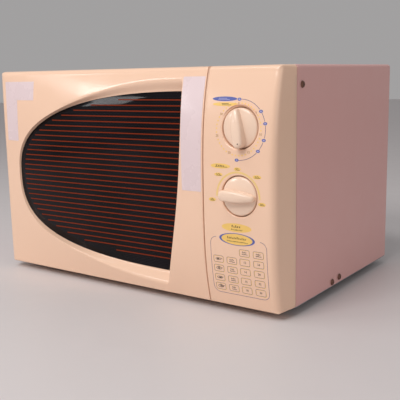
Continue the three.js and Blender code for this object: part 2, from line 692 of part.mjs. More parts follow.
// Knob drawn with its base on y = 0 and its pointer along +Z, then turned and set in its well.
function knob(z, pointerAngle) {
  const base = wellFloorY(z) - 1;
  const face = frontY(KNOB_X, z);
  const rise = base - face;
  const disc = turn('-y', [[0, 0], [KNOB_RADIUS, 0], [KNOB_RADIUS, rise - 1.5], [KNOB_RADIUS - 2, rise + 0.2],
    [KNOB_RADIUS * 0.5, rise + 2.2], [0, rise + 3]], 0, 0, 0, 26);
  const grip = new THREE.Shape();
  const wide = 6;
  const wideZ = -KNOB_RADIUS + wide + 0.3;
  const narrow = 3.4;
  const narrowZ = KNOB_RADIUS - narrow - 0.6;
  const tipAngle = Math.PI / 9;
  const tip = [narrow * Math.cos(tipAngle), narrowZ + narrow * Math.sin(tipAngle)];
  grip.absarc(0, wideZ, wide, Math.PI, 2 * Math.PI);
  grip.quadraticCurveTo(GRIP_BELLY, 3, ...tip);
  grip.absarc(0, narrowZ, narrow, tipAngle, Math.PI - tipAngle);
  grip.quadraticCurveTo(-GRIP_BELLY, 3, -wide, wideZ);
  const bar = extrude('y', grip, -rise - KNOB_HEIGHT, 0);
  const slope = new THREE.Shape([
    [0, -KNOB_RADIUS - 1], [-rise - KNOB_HEIGHT + 1, -KNOB_RADIUS - 1],
    [-rise - KNOB_HEIGHT, -KNOB_RADIUS + 5],
    [-rise - KNOB_HEIGHT + 0.8, 0], [-rise - KNOB_HEIGHT + 3.6, 14],
    [-rise - 4.8, KNOB_RADIUS + 1], [0, KNOB_RADIUS + 1],
  ].map(([y, height]) => new THREE.Vector2(y, height)));
  const taper = extrude('x', slope, -KNOB_RADIUS, KNOB_RADIUS);
  const socket = rod('y', 3.3, 0, 0, -6, 1, 16);
  const whole = cut(join(disc, common(bar, taper)), socket);
  return whole.rotate([0, pointerAngle, 0]).translate([KNOB_X, base, z]);
}

const UNIT_FRONT = -24;

function controlShaft(z) {
  return rod('y', 3, KNOB_X, z, wellFloorY(z) - 6.6, UNIT_FRONT + 2.5, 16);
}

function timerUnit() {
  const housing = block(KNOB_X - 26, KNOB_X + 26, UNIT_FRONT, 12, TIMER_Z - 24, TIMER_Z + 24);
  const motor = rod('y', 20, KNOB_X, TIMER_Z, 11, 17);
  const terminals = [-16, -6, 6, 16].map((dx) => block(KNOB_X + dx - 3, KNOB_X + dx + 3, 2, 10,
    TIMER_Z - 31, TIMER_Z - 23));
  const bore = rod('y', 3.3, KNOB_X, TIMER_Z, UNIT_FRONT - 2, UNIT_FRONT + 3, 16);
  return cut(join(housing, motor, ...terminals), bore);
}

function timerBell() {
  const front = 17 + FIT;
  const profile = [[0, 0], [3, 0], [3, 3], [14, 3], [16, 0.5], [17.2, 1], [14.6, 5.4], [0, 7]];
  const mirrored = profile.map(([radius, height]) => [radius, -height]).reverse();
  return turn('-y', mirrored, KNOB_X, front, TIMER_Z, 24);
}

function powerSelector() {
  const housing = block(KNOB_X - 21, KNOB_X + 21, UNIT_FRONT, -2, POWER_Z - 19, POWER_Z + 19);
  const cam = rod('y', 14, KNOB_X, POWER_Z, -3, 4);
  const terminals = [-12, 0, 12].map((dx) => block(KNOB_X + dx - 3, KNOB_X + dx + 3, -10, -4,
    POWER_Z - 26, POWER_Z - 18));
  const bore = rod('y', 3.3, KNOB_X, POWER_Z, UNIT_FRONT - 2, UNIT_FRONT + 3, 16);
  return cut(join(housing, cam, ...terminals), bore);
}

// ---------- interlock ----------

const BOARD = { left: 107.6, right: 126, y0: 0.8, y1: 30, z0: 46, z1: 226 };

// Bracket behind the front plate, open where the hooks come in and go up, with a ledge below each hook.
function latchBoard() {
  const { left, right, y0, y1, z0, z1 } = BOARD;
  const bodyBlock = block(left, right, y0, y1, z0, z1);
  const pockets = HOOKS_Z.map((z) =>
    block(LATCH_X - 6, LATCH_X + 7, -5, y1 - 3, z - 12, z + HOOK_HEIGHT + 12));
  const ledges = HOOKS_Z.map((z) => block(left + 0.5, right - 0.5, 5, 12, z - 13, z - 5.5));
  const lightening = [[90, 128], [142, 178]].map(([a, b]) =>
    block(left + 2.5, right + 2, y0 + 3, y1 - 3, a, b));
  return join(cut(bodyBlock, ...pockets, ...lightening), ...ledges);
}

const SWITCHES = [
  { name: 'primary_switch', z: 200 },
  { name: 'secondary_switch', z: 78 },
  { name: 'monitor_switch', z: 58 },
];

function interlockSwitch({ z }) {
  const left = BOARD.right + FIT;
  const housing = block(left, left + 10.5, 2, 29, z - 8, z + 8);
  const terminals = [-5, 0, 5].map((dz) => block(left + 3, left + 7, 28, 34, z + dz - 1, z + dz + 1));
  const mounting = rod('x', 1.6, 8, z + 4, left - 2, left + 14, 8);
  return cut(join(housing, ...terminals), mounting);
}

// ---------- microwave generator and supply ----------

const WAVEGUIDE = { x1: 131, y0: 95, y1: 190, z0: 148, z1: 206 };
const ANTENNA = { y: 145, z: 177 };

function waveguide() {
  const { x1, y0, y1, z0, z1 } = WAVEGUIDE;
  const x0 = CAVITY.right + SHEET + FIT;
  const outside = block(x0, x1, y0, y1, z0, z1);
  const inside = block(x0 - 2, x1 - SHEET, y0 + SHEET, y1 - SHEET, z0 + SHEET, z1 - SHEET);
  const port = rod('x', 13, ANTENNA.y, ANTENNA.z, x1 - 5, x1 + 5);
  return cut(outside, inside, port);
}

function waveguideCover() {
  const { y0, y1, z0, z1 } = APERTURE;
  const outline = roundedRectangle(y0 - 7, y1 + 7, z0 - 7, z1 + 7, 4);
  return extrude('x', outline, CAVITY.right - 0.9, CAVITY.right - FIT, 3);
}

function magnetron() {
  const x0 = WAVEGUIDE.x1 + FIT;
  const { y, z } = ANTENNA;
  const flange = block(x0, x0 + 1.6, y - 46, y + 46, z - 38, z + 38);
  const yoke = cut(block(x0 + 1, x0 + 58, y - 40, y + 40, z - 33, z + 33),
    block(x0 + 3, x0 + 56, y - 50, y + 50, z - 31, z + 31));
  const anode = rod('x', 20, y, z, x0 + 1, x0 + 57);
  const fins = steps(x0 + 12, x0 + 44, 5).map((x) => block(x, x + 1, y - 38, y + 38, z - 31.5, z + 31.5));
  const antenna = rod('x', 7.5, y, z, x0 - 18, x0 + 2, 20);
  const filterBox = block(x0 + 57, x0 + 80, y - 31, y + 31, z - 31, z + 31);
  return join(flange, yoke, anode, ...fins, antenna, filterBox);
}

const TRANSFORMER = { x0: 122, y0: 46, y1: 106, z0: 3 };

function transformerCore() {
  const { x0, y0, y1, z0 } = TRANSFORMER;
  const [width, height, limb] = [92, 78, 15];
  const windows = [x0 + limb, x0 + width - limb - 16].map((x) =>
    block(x, x + 16, y0 - 5, y1 + 5, z0 + limb, z0 + height - limb));
  const feet = block(x0 - 8, x0 + width + 4, y0 + 10, y1 - 10, SHEET + FIT, z0 + 1);
  return join(cut(block(x0, x0 + width, y0, y1, z0, z0 + height), ...windows), feet);
}

function transformerWindings() {
  const { x0, y0, y1, z0 } = TRANSFORMER;
  const [width, height, limb] = [92, 78, 15];
  const gap = 0.5;
  const inner = [x0 + limb + 16 - gap, x0 + width - limb - 16 + gap];
  const outline = roundedRectangle(x0 + limb + gap, x0 + width - limb - gap, y0 - 15, y1 + 15, 8);
  const core = [rectangle(inner[0], inner[1], y0 - gap, y1 + gap)];
  const middle = z0 + height / 2;
  const low = pierced('z', outline, core, z0 + limb + gap, middle - 1, 3);
  const high = pierced('z', outline, core, middle + 1, z0 + height - limb - gap, 3);
  const divider = rectangle(x0 + limb + gap, x0 + width - limb - gap, y0 - gap - 2, y1 + gap + 2);
  return join(low, high, pierced('z', divider, core, middle - 2, middle + 2));
}

function capacitor() {
  const can = extrude('z', roundedRectangle(124, 176, 128, 160, 15.5), SHEET + FIT, 84, 5);
  const terminals = [138, 162].map((x) => block(x - 3, x + 3, 143.6, 144.4, 80, 96));
  return join(can, ...terminals);
}

function diode() {
  const body = rod('z', 5, 192, 140, 20, 48, 12);
  const lead = rod('z', 0.8, 192, 140, 10, 60, 8);
  return join(body, lead);
}

function noiseFilterBoard() {
  const board = block(120, 205, 205, 262, 240, 241.6);
  const choke = rod('z', 11, 140, 232, 241, 258, 20);
  const capacitorBlock = block(165, 190, 222, 236, 241, 259);
  const fuse = rod('x', 3.2, 212, 247, 160, 192, 12);
  const holders = [160, 192].map((x) => block(x - 3, x + 3, 209, 215, 241, 247));
  return join(board, choke, capacitorBlock, fuse, ...holders);
}

// ---------- cooling and lamp ----------

function airGuide() {
  const plate = cut(block(112, 222, 230, 232, 98, 216), rod('y', FAN.radius + 4, FAN.x, FAN.z, 220, 240, 24));
  const ring = cut(rod('y', FAN.radius + 5.5, FAN.x, FAN.z, 208, 231, 24),
    rod('y', FAN.radius + 3.5, FAN.x, FAN.z, 200, 240, 24));
  return join(plate, ring);
}

function fanMotor() {
  const stack = cut(block(FAN.x - 30, FAN.x + 30, 240, 258, FAN.z - 26, FAN.z + 26),
    rod('y', 14, FAN.x, FAN.z, 230, 270), block(FAN.x + 12, FAN.x + 22, 230, 270, FAN.z - 14, FAN.z + 14));
  const rotor = rod('y', 13.2, FAN.x, FAN.z, 238, 260);
  const bearing = block(FAN.x - 17, FAN.x + 17, 237, 241, FAN.z - 6, FAN.z + 6);
  const coil = block(FAN.x + 23, FAN.x + 40, 234, 264, FAN.z - 15, FAN.z + 15);
  const arms = [-1, 1].map((side) => block(FAN.x - 50, FAN.x + 44, 233, 240.5,
    FAN.z + side * 22 - 2, FAN.z + side * 22 + 2));
  const shaftBore = rod('y', 1.8, FAN.x, FAN.z, 230, 250, 12);
  return cut(join(stack, rotor, bearing, coil, ...arms), shaftBore);
}

function fanBlade() {
  const hub = rod('y', 11, FAN.x, FAN.z, 212, 228);
  const shaft = rod('y', 1.5, FAN.x, FAN.z, 226, 246, 12);
  const count = 5;
  const blades = steps(0, count - 1, count - 1).map((i) => {
    const geometry = new THREE.BoxGeometry(FAN.radius - 9, 1.6, 24);
    geometry.translate((FAN.radius - 9) / 2 + 9, 0, 0).rotateX(THREE.MathUtils.degToRad(32));
    geometry.rotateY((2 * Math.PI * i) / count).translate(FAN.x, 220, FAN.z);
    return solid(geometry);
  });
  return join(hub, shaft, ...blades);
}

function lampHolder() {
  const body = block(134, 146, LAMP.y - 13, LAMP.y + 13, LAMP.z - 13, LAMP.z + 13);
  const socket = rod('x', 9.5, LAMP.y, LAMP.z, 126, 135);
  const bore = rod('x', 7.3, LAMP.y, LAMP.z, 120, 142);
  const arm = block(109, 136, LAMP.y + 11, LAMP.y + 13, LAMP.z - 8, LAMP.z + 8);
  const tab = block(107, 109.2, LAMP.y + 11, LAMP.y + 24, LAMP.z - 8, LAMP.z + 8);
  return cut(join(body, socket, arm, tab), bore);
}

function ovenLamp() {
  return turn('x', [[0, 0], [6, 1.5], [9, 6], [9, 12], [7, 16], [6.9, 30], [0, 30]], 109, LAMP.y, LAMP.z, 20);
}

// ---------- turntable ----------

function turntableMotor() {
  const can = rod('z', 24, CAVITY_MID_X, TURNTABLE_Y, 7, 23, 28);
  const ears = block(CAVITY_MID_X - 32, CAVITY_MID_X + 32, TURNTABLE_Y - 5, TURNTABLE_Y + 5, 22, 23.4);
  const boss = rod('z', 6, CAVITY_MID_X, TURNTABLE_Y, 22, 26, 16);
  const bore = rod('z', 3.2, CAVITY_MID_X, TURNTABLE_Y, 15, 30, 16);
  return cut(join(can, ears, boss), bore);
}

function turntableCoupler() {
  const { floor } = CAVITY;
  const stem = rod('z', 3, CAVITY_MID_X, TURNTABLE_Y, 16, 28, 16);
  const neck = rod('z', COUPLER_HOLE - 1.5, CAVITY_MID_X, TURNTABLE_Y, 27, floor + 3, 20);
  const head = rod('z', 13, CAVITY_MID_X, TURNTABLE_Y, floor + 1, floor + 10, 24);
  const lobes = [0, 1, 2].map((i) => {
    const angle = (2 * Math.PI * i) / 3 + Math.PI / 2;
    const [x, y] = [CAVITY_MID_X + 13 * Math.cos(angle), TURNTABLE_Y + 13 * Math.sin(angle)];
    return rod('z', 6, x, y, floor + 4, floor + 14, 14);
  });
  return join(stem, neck, head, ...lobes);
}

function rollerRing() {
  const { floor } = CAVITY;
  const ring = cut(rod('z', 82, CAVITY_MID_X, TURNTABLE_Y, floor + 6, floor + 10, 32),
    rod('z', 76, CAVITY_MID_X, TURNTABLE_Y, floor, floor + 20, 32));
  const axles = ROLLER_ANGLES.map((angle) => rod('x', 1.6, 0, 0, 80, ROLLER_TRACK + 4.5, 12)
    .rotate([0, 0, angle]).translate([CAVITY_MID_X, TURNTABLE_Y, floor + ROLLER_RADIUS + FIT]));
  return join(ring, ...axles);
}

const ROLLER_ANGLES = [90, 210, 330];

function roller(angle) {
  const wheel = cut(rod('x', ROLLER_RADIUS, 0, 0, ROLLER_TRACK - 3, ROLLER_TRACK + 3),
    rod('x', 1.9, 0, 0, 70, 120, 12));
  return wheel.rotate([0, 0, angle])
    .translate([CAVITY_MID_X, TURNTABLE_Y, CAVITY.floor + ROLLER_RADIUS + FIT]);
}

function glassTray() {
  const bottom = TRAY_BOTTOM;
  const profile = [[0, 0], [TRAY_RADIUS - 12, 0], [TRAY_RADIUS, 12], [TRAY_RADIUS - 1, 14],
    [TRAY_RADIUS - 4, 13], [TRAY_RADIUS - 14, 5], [0, 5]];
  const drivingRibs = [0, 1, 2].map((i) => {
    const angle = 120 * i + 30;
    return block(11, 18, -2.5, 2.5, -3.4, 1)
      .rotate([0, 0, angle])
      .translate([CAVITY_MID_X, TURNTABLE_Y, bottom]);
  });
  return join(turn('z', profile, CAVITY_MID_X, TURNTABLE_Y, bottom, 40), ...drivingRibs);
}

// ---------- assembly ----------

place('outer_cover', outerCover(), PAINT);
place('base_plate', basePlate(), ZINC);
place('rear_panel', rearPanel(), ZINC);
place('front_plate', frontPlate(), PAINT_INSIDE);
place('cavity_shell', cavityShell(), PAINT_INSIDE);
FEET.forEach((spot, i) => {
  const label = ['front_left', 'front_right', 'rear_left', 'rear_right'][i];
  place(`foot_${label}`, foot(spot), RUBBER);
});
SCREWS.forEach((screw) => {
  place(`cover_screw_${screw.side > 0 ? 'right' : 'left'}_${screw.label}`, coverScrew(screw), STEEL);
});
place('cord_gland', cordGland(), BLACK_PLASTIC);

place('hinge_bracket_upper', hingeBracket(HINGE_UPPER), ZINC);
place('hinge_bracket_lower', hingeBracket(HINGE_LOWER), ZINC);
place('hinge_pin_upper', hingePin(HINGE_UPPER), STEEL);
place('hinge_pin_lower', hingePin(HINGE_LOWER), STEEL);

place('door_outer', doorOuter(), CREAM);
place('door_window', doorWindow(), PANE);
place('door_panel', doorPanel(), ZINC);
place('door_screen', doorScreen(), BLACK_PLASTIC);
place('door_choke_cover', doorChokeCover(), BLACK_PLASTIC);
place('door_inner_sheet', doorInnerSheet(), CLEAR);
place('latch_lever', latchLever(), WHITE_PLASTIC);
place('latch_spring', latchSpring(), STEEL);

place('control_panel', controlPanel(), CREAM);
place('timer_knob', knob(TIMER_Z, TIMER_REST), CREAM_KNOB);
place('power_knob', knob(POWER_Z, POWER_REST), CREAM_KNOB);
place('timer_shaft', controlShaft(TIMER_Z), ZINC);
place('power_shaft', controlShaft(POWER_Z), ZINC);
place('timer_unit', timerUnit(), WHITE_PLASTIC);
place('timer_bell', timerBell(), STEEL);
place('power_selector', powerSelector(), WHITE_PLASTIC);

place('latch_board', latchBoard(), WHITE_PLASTIC);
SWITCHES.forEach((unit) => place(unit.name, interlockSwitch(unit), BLACK_PLASTIC));

place('waveguide', waveguide(), ZINC);
place('waveguide_cover', waveguideCover(), MICA);
place('magnetron', magnetron(), ALUMINIUM);
place('transformer_core', transformerCore(), IRON);
place('transformer_windings', transformerWindings(), COPPER);
place('capacitor', capacitor(), ALUMINIUM);
place('diode', diode(), BLACK_PLASTIC);
place('noise_filter_board', noiseFilterBoard(), GREEN_BOARD);

place('air_guide', airGuide(), WHITE_PLASTIC);
place('fan_motor', fanMotor(), IRON);
place('fan_blade', fanBlade(), WHITE_PLASTIC);
place('lamp_holder', lampHolder(), WHITE_PLASTIC);
place('oven_lamp', ovenLamp(), GLASS);

place('turntable_motor', turntableMotor(), ZINC);
place('turntable_coupler', turntableCoupler(), WHITE_PLASTIC);
place('roller_ring', rollerRing(), WHITE_PLASTIC);
ROLLER_ANGLES.forEach((angle, i) => place(`roller_${i + 1}`, roller(angle), WHITE_PLASTIC));
place('glass_tray', glassTray(), GLASS);

const box = new THREE.Box3().setFromObject(assembly);
const centre = box.getCenter(new THREE.Vector3());
assembly.position.set(-centre.x, -centre.y, -box.min.z);
assembly.updateMatrixWorld(true);

export default assembly;
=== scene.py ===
"""Looks of a countertop microwave oven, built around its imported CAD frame.

Shapes are in millimetres from the working datum: x = 0 at mid-width, y = 0 at the front edge of the steel
cover, z = 0 under the base plate. mesh_of() moves them into the frame, in metres.
"""

import json
import math
import random

import bmesh
import bpy
import numpy as np
from mathutils import Matrix, Vector

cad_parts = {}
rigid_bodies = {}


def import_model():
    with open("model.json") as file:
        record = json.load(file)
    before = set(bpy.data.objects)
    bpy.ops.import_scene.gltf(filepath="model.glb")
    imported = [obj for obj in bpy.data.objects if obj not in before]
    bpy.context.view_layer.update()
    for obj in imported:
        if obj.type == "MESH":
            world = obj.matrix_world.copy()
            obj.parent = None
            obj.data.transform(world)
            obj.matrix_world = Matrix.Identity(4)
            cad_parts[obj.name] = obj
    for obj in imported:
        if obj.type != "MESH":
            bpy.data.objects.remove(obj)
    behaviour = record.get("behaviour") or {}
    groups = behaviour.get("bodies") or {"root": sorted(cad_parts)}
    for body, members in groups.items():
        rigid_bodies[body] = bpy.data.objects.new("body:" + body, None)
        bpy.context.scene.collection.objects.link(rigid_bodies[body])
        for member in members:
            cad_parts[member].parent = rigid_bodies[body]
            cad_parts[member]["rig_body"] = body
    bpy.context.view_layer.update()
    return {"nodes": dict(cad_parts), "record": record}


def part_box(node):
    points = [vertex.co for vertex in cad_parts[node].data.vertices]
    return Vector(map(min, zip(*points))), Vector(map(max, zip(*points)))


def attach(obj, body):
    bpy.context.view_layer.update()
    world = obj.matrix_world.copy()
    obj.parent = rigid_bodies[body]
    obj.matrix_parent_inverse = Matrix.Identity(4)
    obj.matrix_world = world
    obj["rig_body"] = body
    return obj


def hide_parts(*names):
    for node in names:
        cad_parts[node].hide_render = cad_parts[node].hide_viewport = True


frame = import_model()
NODES = frame["nodes"]
SLOT_OF = {part["node"]: part["material_slot"] for part in frame["record"]["subparts"]}
MM = 0.001
DATUM = Vector((0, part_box("outer_cover")[0].y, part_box("base_plate")[0].z))
random.seed(7)


def box_mm(node):
    """Lowest and highest corner of a CAD node in millimetres from the working datum."""
    low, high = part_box(node)
    return (low - DATUM) / MM, (high - DATUM) / MM


# ---------- the driving shapes of the front, as in the CAD part ----------

DOOR_LOW, DOOR_HIGH = box_mm("door_outer")
PANEL_LOW, PANEL_HIGH = box_mm("control_panel")
HEIGHT = DOOR_HIGH.z
SEAM_X = (DOOR_HIGH.x + PANEL_LOW.x) / 2
EDGE_DEPTH, BULGE, BULGE_Z, BULGE_HALF, BULGE_POWER = 26.85, 14.8, 128.8, 136.0, 2.94
LEFT_DEPTH, LEFT_FADE, LEFT_FADE_POWER = 28.9, 355.0, 3.2
WINDOW = {"x": 108.7, "z": 135.9, "left": 299.4, "up": 108.7, "down": 109.9,
          "up_power": 2.36, "down_power": 2.84}
STRIP = {"x": 97.7, "z": 203.0, "radius": 640.0}
PANE_LEFT_Y, PANE_SLOPE = -30.0, 7 / 290
SCOOP = 14.8
RIM = 1.0
WALL = 2.5
COLLAR_Y = -20.0
SOFT_EDGE = 0.25
DOOR_BACK = DOOR_HIGH.y
PANEL_BACK = PANEL_HIGH.y


def front_y(x, z):
    away = np.clip(SEAM_X - x, 0, None) / LEFT_FADE
    share = np.clip(1 - away**LEFT_FADE_POWER, 0, 1)
    full = EDGE_DEPTH + BULGE * (1 - np.abs((z - BULGE_Z) / BULGE_HALF) ** BULGE_POWER)
    return -(share * full + (1 - share) * LEFT_DEPTH)


def pane_y(x):
    return PANE_LEFT_Y + PANE_SLOPE * (x + 190)


def strip_x(z):
    return STRIP["x"] - (STRIP["z"] - z) ** 2 / (2 * STRIP["radius"])


def smoothstep(value, low, high):
    t = np.clip((value - low) / (high - low), 0, 1)
    return t * t * (3 - 2 * t)


def window_curve(offset, scoop, count=900, **size):
    """The egg-shaped side of the window from its top right round to its bottom right, cut by the strip."""
    window = {**WINDOW, **size}
    angle = np.linspace(math.pi / 2, 1.5 * math.pi, count)
    c, s = np.abs(np.cos(angle)), np.abs(np.sin(angle))
    upper = angle <= math.pi
    power = np.where(upper, 2 / window["up_power"], 2 / window["down_power"])
    x = window["x"] - window["left"] * c**power - offset * c
    reach = np.where(upper, window["up"], window["down"]) * s**power + offset * s
    reach += scoop * smoothstep(x, -130, 60)
    z = window["z"] + np.where(upper, 1, -1) * reach
    inside = x < strip_x(z)
    first, last = np.argmax(inside), len(inside) - 1 - np.argmax(inside[::-1])
    points = [(x[i], z[i]) for i in range(first, last + 1)]
    z0, z1 = points[0][1], points[-1][1]
    return np.array([(strip_x(z0), z0), *points[1:-1], (strip_x(z1), z1)])


# ---------- meshes ----------


def linked(name, data):
    item = bpy.data.objects.new(name, data)
    bpy.context.scene.collection.objects.link(item)
    return item


def welded(data, near=4e-6, sliver=2e-6):
    work = bmesh.new()
    work.from_mesh(data)
    bmesh.ops.remove_doubles(work, verts=work.verts, dist=near)
    bmesh.ops.dissolve_degenerate(work, edges=work.edges, dist=sliver)
    bmesh.ops.recalc_face_normals(work, faces=work.faces)
    work.to_mesh(data)
    work.free()


def mesh_of(name, points, faces):
    """A mesh from points in millimetres from the working datum."""
    data = bpy.data.meshes.new(name)
    data.from_pydata([Vector(p) * MM + DATUM for p in points], [], faces)
    return data


def make(name, points, faces, body, slot=None, material=None, replaces=(), sharp=35):
    data = mesh_of(name, points, faces)
    welded(data, 2e-6, 1e-7)
    piece = linked(name, data)
    smooth(piece, sharp)
    return settle(piece, body, slot, material, replaces)


def smooth(piece, sharp=35):
    data = piece.data
    data.polygons.foreach_set("use_smooth", [True] * len(data.polygons))
    data.set_sharp_from_angle(angle=math.radians(sharp))


def settle(piece, body, slot=None, material=None, replaces=()):
    piece.data.materials.append(material or LOOKS[slot])
    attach(piece, body)
    if replaces:
        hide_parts(*replaces)
    return piece


def rings_to_faces(count, rings, closed=True, start=0):
    faces = []
    for ring in range(rings - 1):
        for i in range(count if closed else count - 1):
            a = start + ring * count + i
            b = start + ring * count + (i + 1) % count
            faces.append((a, b, b + count, a + count))
    return faces


def lathe(profile, centre, axis, sides):
    """Points and faces of a (radius, height) profile turned about an axis through a centre, along z or -y."""
    points = []
    for radius, height in profile:
        for i in range(sides):
            a = 2 * math.pi * i / sides
            u, v = radius * math.cos(a), radius * math.sin(a)
            offset = (u, v, height) if axis == "z" else (u, -height, v)
            points.append(tuple(c + o for c, o in zip(centre, offset)))
    return points, rings_to_faces(sides, len(profile))


def merge(*parts):
    points, faces = [], []
    for more_points, more_faces in parts:
        faces += [tuple(i + len(points) for i in face) for face in more_faces]
        points += list(more_points)
    return points, faces


def refined(node, material=None):
    """Stands for a CAD node: the same solid with its edges softened."""
    data = NODES[node].data.copy()
    work = bmesh.new()
    work.from_mesh(data)
    bmesh.ops.remove_doubles(work, verts=work.verts, dist=1e-6)
    bmesh.ops.dissolve_limit(work, angle_limit=math.radians(1), verts=work.verts, edges=work.edges)
    edges = [e for e in work.edges if len(e.link_faces) == 2 and e.calc_face_angle(0) > math.radians(40)]
    bmesh.ops.bevel(work, geom=edges, offset=SOFT_EDGE * MM, segments=2, profile=0.5, affect="EDGES",
                    clamp_overlap=True, loop_slide=True)
    clean = bpy.data.meshes.new(node + "_fine")
    work.to_mesh(clean)
    work.free()
    piece = linked(node + "_fine", clean)
    smooth(piece, 30)
    return settle(piece, NODES[node]["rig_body"], SLOT_OF[node], material, (node,))


# ---------- materials ----------


def linear(rgb):
    return tuple((c / 255 / 12.92) if c / 255 <= 0.04045 else ((c / 255 + 0.055) / 1.055) ** 2.4 for c in rgb)


def shade(rgb, factor):
    return tuple(min(1.0, c * factor) for c in linear(rgb)) + (1.0,)


LOOKS = {}


class Look:
    """A node material: cloudy colour, uneven roughness, grain and edge wear, with room for a pattern."""

    def __init__(self, name, rgb, rough, metal=0.0, cloud=12.0, cloud_amount=0.05, rough_spread=0.06,
                 grain=1400.0, grain_depth=0.02, wave=60.0, wave_depth=0.015, stretch=(1, 1, 1), wear=None,
                 wear_rgb=None, **sockets):
        self.material = LOOKS[name] = bpy.data.materials.new(name)
        self.material.use_nodes = True
        self.tree = self.material.node_tree
        self.tree.nodes.clear()
        self.shader = self.node("ShaderNodeBsdfPrincipled")
        output = self.node("ShaderNodeOutputMaterial")
        self.link(self.shader.outputs[0], output.inputs[0])
        self.place = self.node("ShaderNodeTexCoord").outputs["Object"]
        stretched = self.node("ShaderNodeMapping")
        stretched.inputs["Scale"].default_value = stretch
        self.link(self.place, stretched.inputs["Vector"])
        self.stretched = stretched.outputs[0]
        dim, bright = shade(rgb, 1 - cloud_amount), shade(rgb, 1 + cloud_amount)
        self.colour = self.mix(self.noise(cloud, 4), dim, bright)
        specks = self.ramp(self.noise(grain * 0.35, 2), 0.62, 0.78)
        self.colour = self.mix(self.multiply(specks, 3.5 * cloud_amount), self.colour, shade(rgb, 0.82))
        if wear:
            pointy = self.ramp(self.node("ShaderNodeNewGeometry").outputs["Pointiness"], 0.56, 0.68)
            worn = self.multiply(pointy, self.ramp(self.noise(240, 5), 0.42, 0.62))
            self.colour = self.mix(self.multiply(worn, wear), self.colour, shade(wear_rgb or rgb, 1.0))
        uneven = self.noise(34, 5, self.stretched)
        self.rough = self.spread(uneven, rough - rough_spread, rough + rough_spread)
        self.shader.inputs["Metallic"].default_value = metal
        for socket, value in sockets.items():
            self.shader.inputs[socket.replace("_", " ")].default_value = value
        fine = self.bump(self.noise(grain, 3, self.stretched), grain_depth, 0.0002)
        self.normal = self.bump(self.noise(wave, 2), wave_depth, 0.001, fine)

    def node(self, kind):
        return self.tree.nodes.new(kind)

    def link(self, a, b):
        self.tree.links.new(a, b)

    def noise(self, scale, detail=3, vector=None):
        n = self.node("ShaderNodeTexNoise")
        n.inputs["Scale"].default_value = scale
        n.inputs["Detail"].default_value = detail
        self.link(vector or self.place, n.inputs["Vector"])
        return n.outputs["Fac"]

    def feed(self, sockets, values):
        for socket, value in zip(sockets, values):
            if isinstance(value, (int, float, tuple)):
                socket.default_value = value
            else:
                self.link(value, socket)

    def mix(self, factor, a, b):
        n = self.node("ShaderNodeMix")
        n.data_type = "RGBA"
        self.feed((n.inputs[0], n.inputs[6], n.inputs[7]), (factor, a, b))
        return n.outputs[2]

    def math(self, operation, *values):
        n = self.node("ShaderNodeMath")
        n.operation = operation
        self.feed(n.inputs, values)
        return n.outputs[0]

    def flakes(self, scale):
        n = self.node("ShaderNodeTexVoronoi")
        n.inputs["Scale"].default_value = scale
        self.link(self.place, n.inputs["Vector"])
        return n.outputs

    def multiply(self, a, b):
        return self.math("MULTIPLY", a, b)

    def ramp(self, value, low, high):
        return self.spread(value, 0, 1, low, high)

    def spread(self, value, low, high, start=0.3, end=0.7):
        n = self.node("ShaderNodeMapRange")
        self.link(value, n.inputs["Value"])
        for socket, number in (("From Min", start), ("From Max", end), ("To Min", low), ("To Max", high)):
            n.inputs[socket].default_value = number
        return n.outputs[0]

    def bump(self, height, strength, distance, normal=None):
        n = self.node("ShaderNodeBump")
        n.inputs["Strength"].default_value = strength
        n.inputs["Distance"].default_value = distance
        self.link(height, n.inputs["Height"])
        if normal:
            self.link(normal, n.inputs["Normal"])
        return n.outputs[0]

    def axis(self, index):
        n = self.node("ShaderNodeSeparateXYZ")
        self.link(self.place, n.inputs[0])
        return n.outputs[index]

    def stripes(self, axis, pitch, width):
        """1 inside stripes of a given width, repeated at a pitch along an axis, in metres."""
        turn = self.math("FRACT", self.math("DIVIDE", axis, pitch))
        return self.math("LESS_THAN", turn, width / pitch)

    def holes(self, a, b, pitch, radius):
        """1 inside round holes in staggered rows."""
        row = self.math("DIVIDE", b, pitch * 0.866)
        odd = self.math("MODULO", self.math("FLOOR", self.math("ABSOLUTE", row)), 2)
        along = self.math("ADD", self.math("DIVIDE", a, pitch), self.multiply(odd, 0.5))
        da = self.math("SUBTRACT", self.math("FRACT", self.math("ADD", along, 1000)), 0.5)
        db = self.multiply(self.math("SUBTRACT", self.math("FRACT", self.math("ABSOLUTE", row)), 0.5), 0.866)
        distance = self.math("SQRT", self.math("ADD", self.multiply(da, da), self.multiply(db, db)))
        return self.math("LESS_THAN", distance, radius / pitch)

    def done(self):
        self.link(self.colour, self.shader.inputs["Base Color"])
        self.link(self.rough, self.shader.inputs["Roughness"])
        self.link(self.normal, self.shader.inputs["Normal"])
        return self.material


CREAM = (242, 204, 177)
KNOB_CREAM = (243, 213, 190)
# Cover colour: a pale off-white paint with a pink tint mixed in; the pink is painted light, standing for the
# reddish room light.
COVER = (226, 174, 168)
SCREEN_PITCH, SCREEN_HOLE = 0.0023, 0.00075  # metres: spacing and radius of the holes


def pane_look():
    look = Look("smoked_pane", (13, 10, 11), 0.06, cloud_amount=0.1, rough_spread=0.03, grain_depth=0.0,
                wave=8, wave_depth=0.004, Specular_IOR_Level=0.1)
    hole = look.holes(look.axis(0), look.axis(2), SCREEN_PITCH, SCREEN_HOLE)
    patch = look.ramp(look.noise(9, 2), 0.30, 0.62)
    faint = look.multiply(look.multiply(hole, 0.6), patch)
    look.colour = look.mix(faint, look.colour, shade((46, 44, 52), 1))
    return look.done()


def screen_look():
    look = Look("black_enamel", (26, 26, 28), 0.45, cloud_amount=0.1, grain_depth=0.05)
    hole = look.holes(look.axis(0), look.axis(2), SCREEN_PITCH, SCREEN_HOLE)
    look.colour = look.mix(hole, look.colour, shade((4, 4, 5), 1))
    look.normal = look.bump(hole, -0.6, 0.0004, look.normal)
    return look.done()


